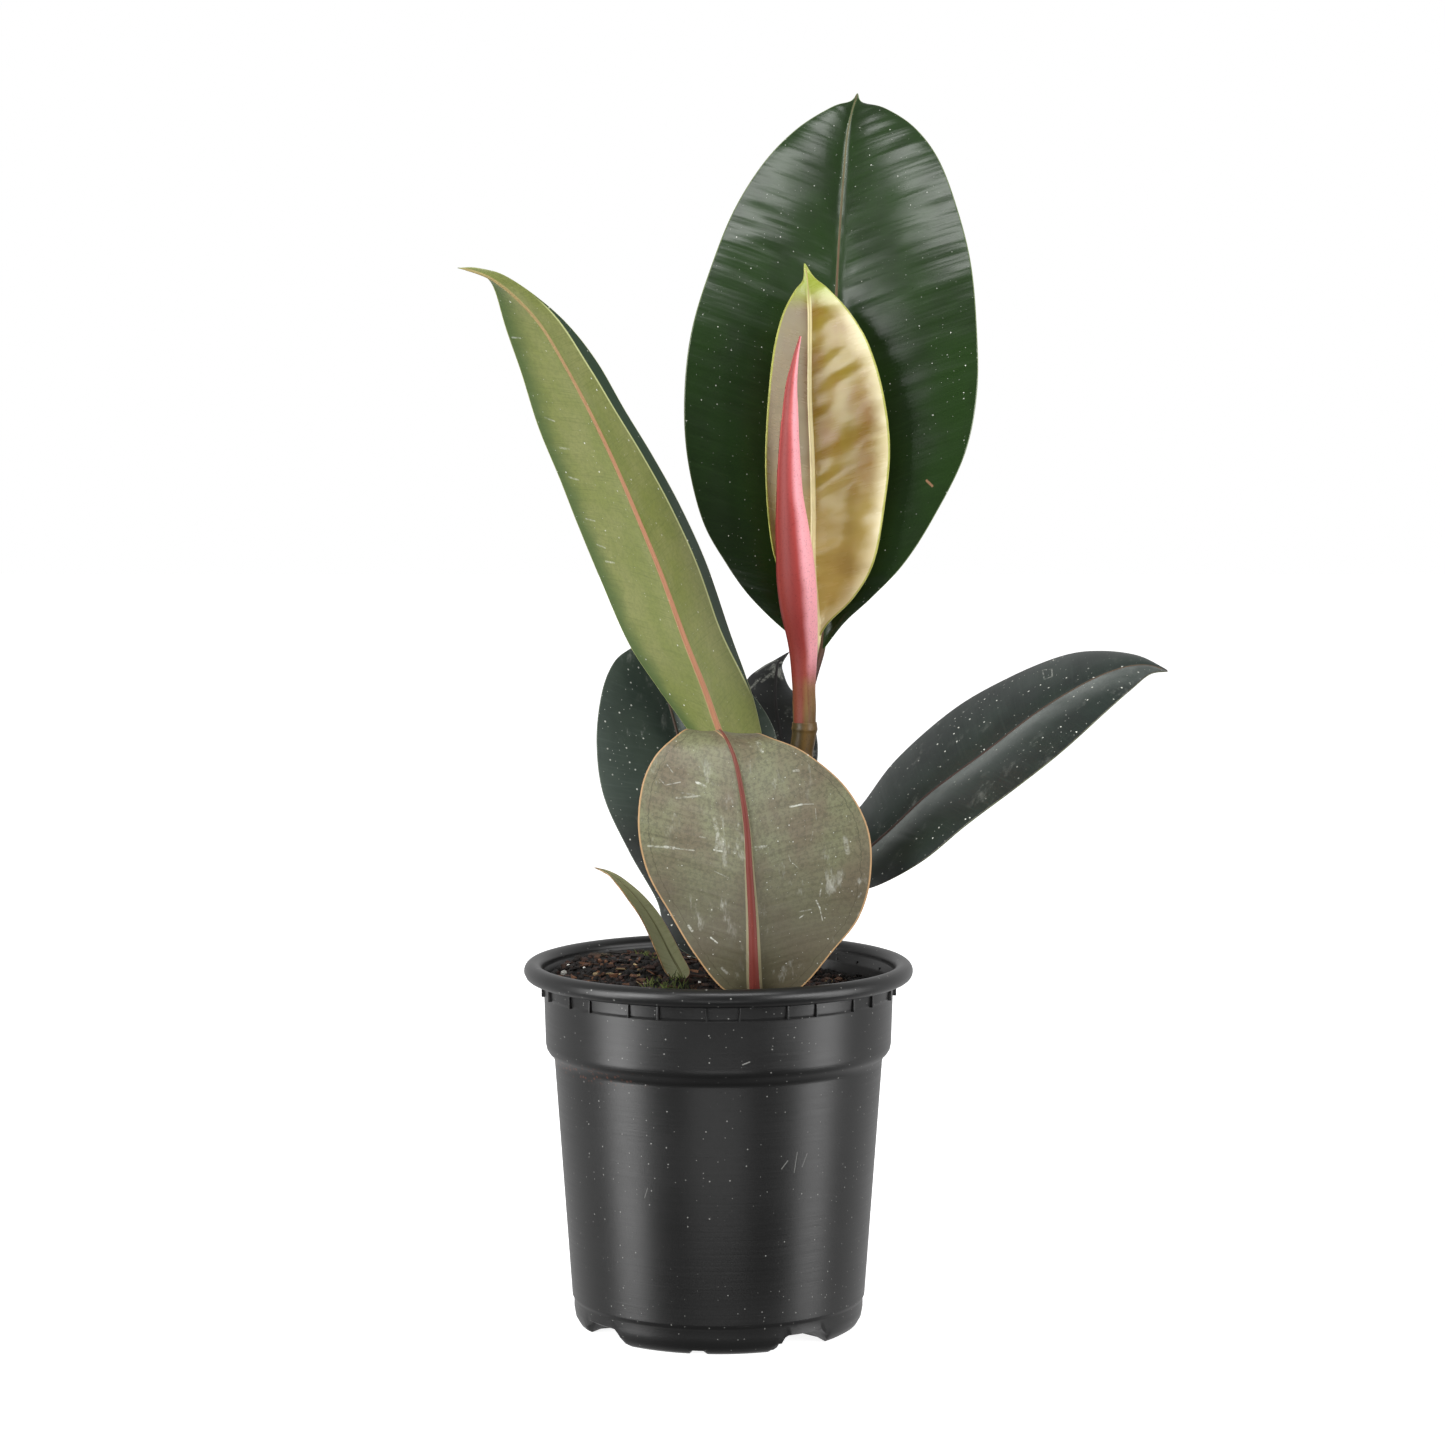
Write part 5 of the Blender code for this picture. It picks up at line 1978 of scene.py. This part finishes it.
# Front leaf's under side: painted shading towards the blade's base.
FRONT_UNDER = LeafSkin(
    "leaf_front_under", srgb(118, 120, 88), srgb(108, 98, 76), srgb(82, 78, 56), 0.45,
    border=srgb(150, 142, 110), rib_width=(5.4, 0.8), rib_run=112.0, margin=srgb(176, 140, 96),
    margin_width=0.9, inner_line=srgb(62, 58, 38), dust=0.5, dust_cell=6.0, dust_size=0.045,
    haze=0.5, roughness=0.5, relief=0.7, base_painted_light=srgb(76, 70, 52), base_reach=(80.0, 22.0),
    mottle=0.45,
    scar=srgb(190, 150, 112), vein_scale=1.2,
    scars=(Stroke(4.9, 128.8, 2.6, 118.7, 0.5, 0.9), Stroke(4.9, 128.8, 0.2, 106.3, 0.5, 0.9)),
    strokes=(
        Stroke(19.6, 87.6, 16.0, 86.1, 0.75, 0.9), Stroke(29.3, 81.1, 19.2, 82.3, 0.52, 0.41),
        Stroke(27.0, 83.1, 21.7, 82.7, 0.45, 0.32), Stroke(35.2, 88.0, 33.3, 85.7, 0.3, 0.45),
        Stroke(33.3, 85.7, 26.7, 87.2, 0.3, 0.45), Stroke(30.6, 94.1, 29.1, 91.1, 0.38, 0.36),
        Stroke(13.8, 73.6, 13.0, 68.3, 1.2, 0.27), Stroke(13.0, 68.3, 14.1, 61.9, 1.05, 0.41),
        Stroke(15.2, 61.9, 11.7, 61.4, 0.45, 0.85), Stroke(42.7, 63.3, 35.8, 62.8, 0.52, 0.41),
        Stroke(35.8, 62.8, 32.0, 62.3, 0.75, 0.81), Stroke(32.0, 62.3, 23.7, 61.4, 0.38, 0.45),
        Stroke(15.3, 53.3, 9.5, 50.9, 0.3, 0.54), Stroke(-19.4, 78.3, -24.7, 79.1, 0.45, 0.9),
        Stroke(-24.7, 79.1, -29.4, 79.1, 0.3, 0.5), Stroke(-23.2, 91.5, -25.3, 91.5, 0.6, 0.45),
        Stroke(-29.9, 77.4, -29.8, 72.7, 0.22, 0.32), Stroke(-27.9, 68.8, -26.8, 65.6, 0.22, 0.32),
        Stroke(-40.9, 66.5, -41.5, 61.4, 1.35, 0.27), Stroke(-2.7, 63.3, -7.7, 63.7, 0.6, 0.54),
        Stroke(-3.2, 62.3, -5.9, 62.8, 0.38, 0.45), Stroke(-29.6, 46.6, -29.0, 43.7, 0.38, 0.85),
        Stroke(-27.4, 41.8, -28.5, 39.0, 0.45, 0.9), Stroke(-28.5, 39.0, -29.2, 33.6, 0.3, 0.54),
        Stroke(-19.8, 34.5, -21.7, 35.8, 0.3, 0.72), Stroke(-19.8, 37.2, -24.9, 38.1, 0.3, 0.36),
        Stroke(27.1, 30.1, 25.6, 28.4, 0.75, 0.54), Stroke(17.8, 25.9, 15.1, 23.9, 0.45, 0.9),
        Stroke(12.9, 14.2, 10.9, 12.2, 0.75, 0.36), Stroke(-44.5, 43.7, -45.8, 45.7, 0.45, 0.36),
        Stroke(-19.0, 56.6, -21.0, 54.7, 0.22, 0.36), Stroke(-17.0, 60.0, -17.7, 57.6, 0.22, 0.36),
        Stroke(20.9, 67.0, 18.5, 66.5, 0.38, 0.27),
    ),
)
SMALL_UNDER = LeafSkin(
    "leaf_small_under", srgb(184, 186, 138), srgb(164, 166, 120), srgb(128, 132, 90), 0.4,
    margin=srgb(172, 128, 92),
    margin_width=0.4, dust=0.4, roughness=0.5,
)
# Right leaf's upper face: a painted sheen beside the midrib on its lower half.
RIGHT_UPPER = LeafSkin(
    "leaf_right_upper", srgb(28, 40, 34), srgb(20, 29, 26), srgb(42, 52, 46), 0.4,
    near_rib_painted_light=srgb(112, 118, 114), near_rib_reach=17.0, near_side=1,
    rib=srgb(58, 40, 36), rib_width=(1.6, 0.5), margin=srgb(60, 50, 44),
    margin_width=0.45, dust=0.7, haze=0.12, roughness=0.38, mottle=0.2,
    wrinkle=0.0009,
    strokes=(
        Stroke(-24.4, 125.7, -21.1, 128.9, 0.4, 0.3), Stroke(-21.1, 128.9, -15.2, 127.3, 0.4, 0.3),
        Stroke(-15.2, 127.3, -16.3, 124.1, 0.4, 0.3), Stroke(-16.3, 124.1, -24.4, 125.7, 0.4, 0.3),
    ),
)
# Back-left leaf's upper face: a near-black painted shadow over its lower part.
BACK_LEFT_UPPER = LeafSkin(
    "leaf_back_left_upper", srgb(58, 70, 60), srgb(46, 58, 50), srgb(70, 82, 74), 0.35,
    rib=srgb(60, 52, 46), rib_width=(2.0, 0.8), margin=srgb(84, 94, 80), margin_width=0.45,
    dust=1.1, dust_size=0.055, haze=0.3,
    base_painted_light=srgb(7, 7, 7), base_reach=(78.0, 54.0), roughness=0.42, mottle=0.2,
)
BACK_UPPER = LeafSkin(
    "leaf_back_upper", srgb(22, 25, 24), srgb(17, 20, 20), srgb(32, 36, 34), 0.4,
    rib=srgb(34, 32, 32), rib_width=(1.6, 0.7), margin=srgb(100, 104, 102), margin_width=0.5,
    dust=0.8, haze=0.5, roughness=0.42,
    strokes=(
        Stroke(-10.6, 75.7, -3.2, 83.2, 1.2, 0.6), Stroke(-3.2, 83.2, 1.7, 84.5, 1.0, 0.6),
        Stroke(-6.7, 70.8, 0.6, 79.4, 0.9, 0.4), Stroke(-12.8, 65.7, -7.9, 71.8, 0.7, 0.4),
    ),
)
GREEN_MARGIN = MarginSkin("margin_green", srgb(104, 116, 80), srgb(78, 88, 60))
TAN_MARGIN = MarginSkin("margin_tan", srgb(176, 140, 98), srgb(132, 112, 78))
PALE_MARGIN = MarginSkin("margin_pale", srgb(176, 182, 128), srgb(150, 160, 104))
LIME_MARGIN = MarginSkin("margin_lime", srgb(176, 176, 92), srgb(148, 152, 74))
SALMON_RIB = RibSkin("rib_salmon", srgb(172, 120, 90), srgb(128, 110, 70), srgb(72, 38, 36),
                     srgb(214, 160, 130), srgb(150, 146, 92))
RED_RIB = RibSkin("rib_red", srgb(114, 50, 42), srgb(110, 80, 60), srgb(96, 40, 38),
                  srgb(168, 96, 84), srgb(112, 80, 62))
DARK_RIB = RibSkin("rib_dark", srgb(112, 60, 54), srgb(58, 44, 38), srgb(50, 26, 28),
                   srgb(130, 84, 74), srgb(96, 84, 66))
GREY_RIB = RibSkin("rib_grey", srgb(150, 150, 110), srgb(120, 120, 88), srgb(96, 82, 62),
                   srgb(140, 130, 100), srgb(110, 84, 70))
CREAM_RIB = RibSkin("rib_cream", srgb(196, 140, 104), srgb(230, 216, 164), srgb(92, 44, 42),
                    srgb(226, 190, 150), srgb(176, 160, 96))
TOP_RIB = RibSkin("rib_brown", srgb(180, 122, 94), srgb(88, 64, 46), srgb(72, 38, 36),
                  srgb(128, 104, 78), srgb(104, 108, 76))
BLACK_RIB = RibSkin("rib_black", srgb(48, 38, 38), srgb(30, 29, 29), srgb(50, 26, 28),
                    srgb(66, 60, 60), srgb(44, 42, 42))
# Stem finish: its last colour is a painted shadow on the stem's left side.
BARK_SKIN = ShootSkin(
    "stem_olive",
    ((0.0, srgb(76, 62, 40)), (0.6, srgb(76, 60, 26)), (0.85, srgb(88, 66, 30)),
     (1.0, srgb(104, 80, 42))),
    100.0, 242.0, srgb(56, 44, 26), 0.34, 0.5, None, srgb(50, 42, 16),
)
# Sheath finish: its last two colours are a painted highlight on the right side and a painted shadow
# on the left side.
BUD_SKIN = ShootSkin(
    "sheath_red",
    ((0.0, srgb(84, 66, 32)), (0.045, srgb(126, 98, 58)), (0.09, srgb(140, 100, 64)),
     (0.13, srgb(146, 66, 52)), (0.22, srgb(140, 50, 45)), (0.5, srgb(156, 56, 52)),
     (0.75, srgb(184, 80, 80)), (1.0, srgb(206, 104, 100))),
    241.0, 394.0, srgb(104, 22, 24), 0.45, 0.3, srgb(244, 168, 176), srgb(124, 38, 34),
)


def make_leaves() -> list[Leaf]:
    """Lists the plant's leaves.

    Returns:
        The eight leaves, from the top down.
    """
    return [
        Leaf("leaf_top", "top_leaf_green", LEAF_TOP_ROWS, (1.8, 0.5),
             Stalk(2.0, 228, (-0.05, 0.95, 0.3), ((34.6, 13.5, 239, 1.8), (36.9, 17, 254, 1.7))),
             (GREEN_UPPER, PALE_UNDER, GREEN_MARGIN, TOP_RIB), lengthwise=150, ripple=0.1,
             seed=1.0),
        Leaf("leaf_young", "young_leaf_bronze", LEAF_YOUNG_ROWS, (1.5, 0.4),
             Stalk(1.6, 237, (0.35, 0.9, 0.3), ((36.7, 9.6, 246, 1.4), (37.2, 10, 261, 1.4))),
             (YOUNG_UPPER, YOUNG_UNDER, LIME_MARGIN, CREAM_RIB), wave=0.3, ripple=0.08, seed=2.0,
             bulge=-0.09),
        Leaf("leaf_left", "left_leaf_underside", LEAF_LEFT_ROWS, (1.9, 0.25),
             Stalk(1.9, 196, (-0.9, -0.4, 0.2), ((17.2, -3, 200, 1.7),)),
             (GREEN_UPPER, LEFT_UNDER, PALE_MARGIN, SALMON_RIB), lengthwise=150, halves=24, rim=0.7,
             seed=3.0, rib_taper=0.5),
        Leaf("leaf_front", "front_leaf_underside", LEAF_FRONT_ROWS, (2.7, 0.2), Stalk(2.8, 112),
             (GREEN_UPPER, FRONT_UNDER, TAN_MARGIN, RED_RIB), halves=18, ripple=0.05, seed=4.0,
             rib_taper=0.6),
        Leaf("leaf_right", "right_leaf_green", LEAF_RIGHT_ROWS, (1.8, 0.5),
             Stalk(1.9, 167, (1, -0.1, 0), ((30, 2.2, 168, 1.8),)),
             (RIGHT_UPPER, DARK_UNDER, GREEN_MARGIN, DARK_RIB), lengthwise=140, seed=5.0),
        Leaf("leaf_back_left", "back_left_leaf_green", LEAF_BACK_LEFT_ROWS, (2.2, 0.5),
             Stalk(2.3, 106), (BACK_LEFT_UPPER, DARK_UNDER, GREEN_MARGIN, DARK_RIB), seed=6.0),
        Leaf("leaf_back", "back_leaf_green", LEAF_BACK_ROWS, (1.7, 0.4),
             Stalk(1.9, 198, (0.25, 0.95, 0.2), ((30, 12, 200.5, 1.7),)),
             (BACK_UPPER, DARK_UNDER, GREEN_MARGIN, BLACK_RIB), seed=7.0),
        Leaf("leaf_small", "small_leaf_underside", LEAF_SMALL_ROWS, (0.7, 0.25), Stalk(1.3, 112),
             (RIGHT_UPPER, SMALL_UNDER, TAN_MARGIN, GREY_RIB), halves=10, lengthwise=90, seed=8.0),
    ]


def write_sizes() -> None:
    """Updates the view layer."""
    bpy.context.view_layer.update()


def main() -> None:
    """Builds the studio and the plant, piece by piece."""
    logging.basicConfig(level=logging.INFO, format="%(message)s")
    Studio().build()
    feet = Feet()
    Pot(POT_INNER, POT_OUTER, feet, PotSkin()).build()
    PottingMix(POT_INNER, feet, MixSkin()).build()
    stem = Stem(STEM_PATH, BARK_SKIN)
    stem.build()
    BudSheath(BUD_PATH, BUD_SKIN).build()
    for leaf in make_leaves():
        leaf.build(stem)
    write_sizes()


if __name__ == "__main__":
    main()
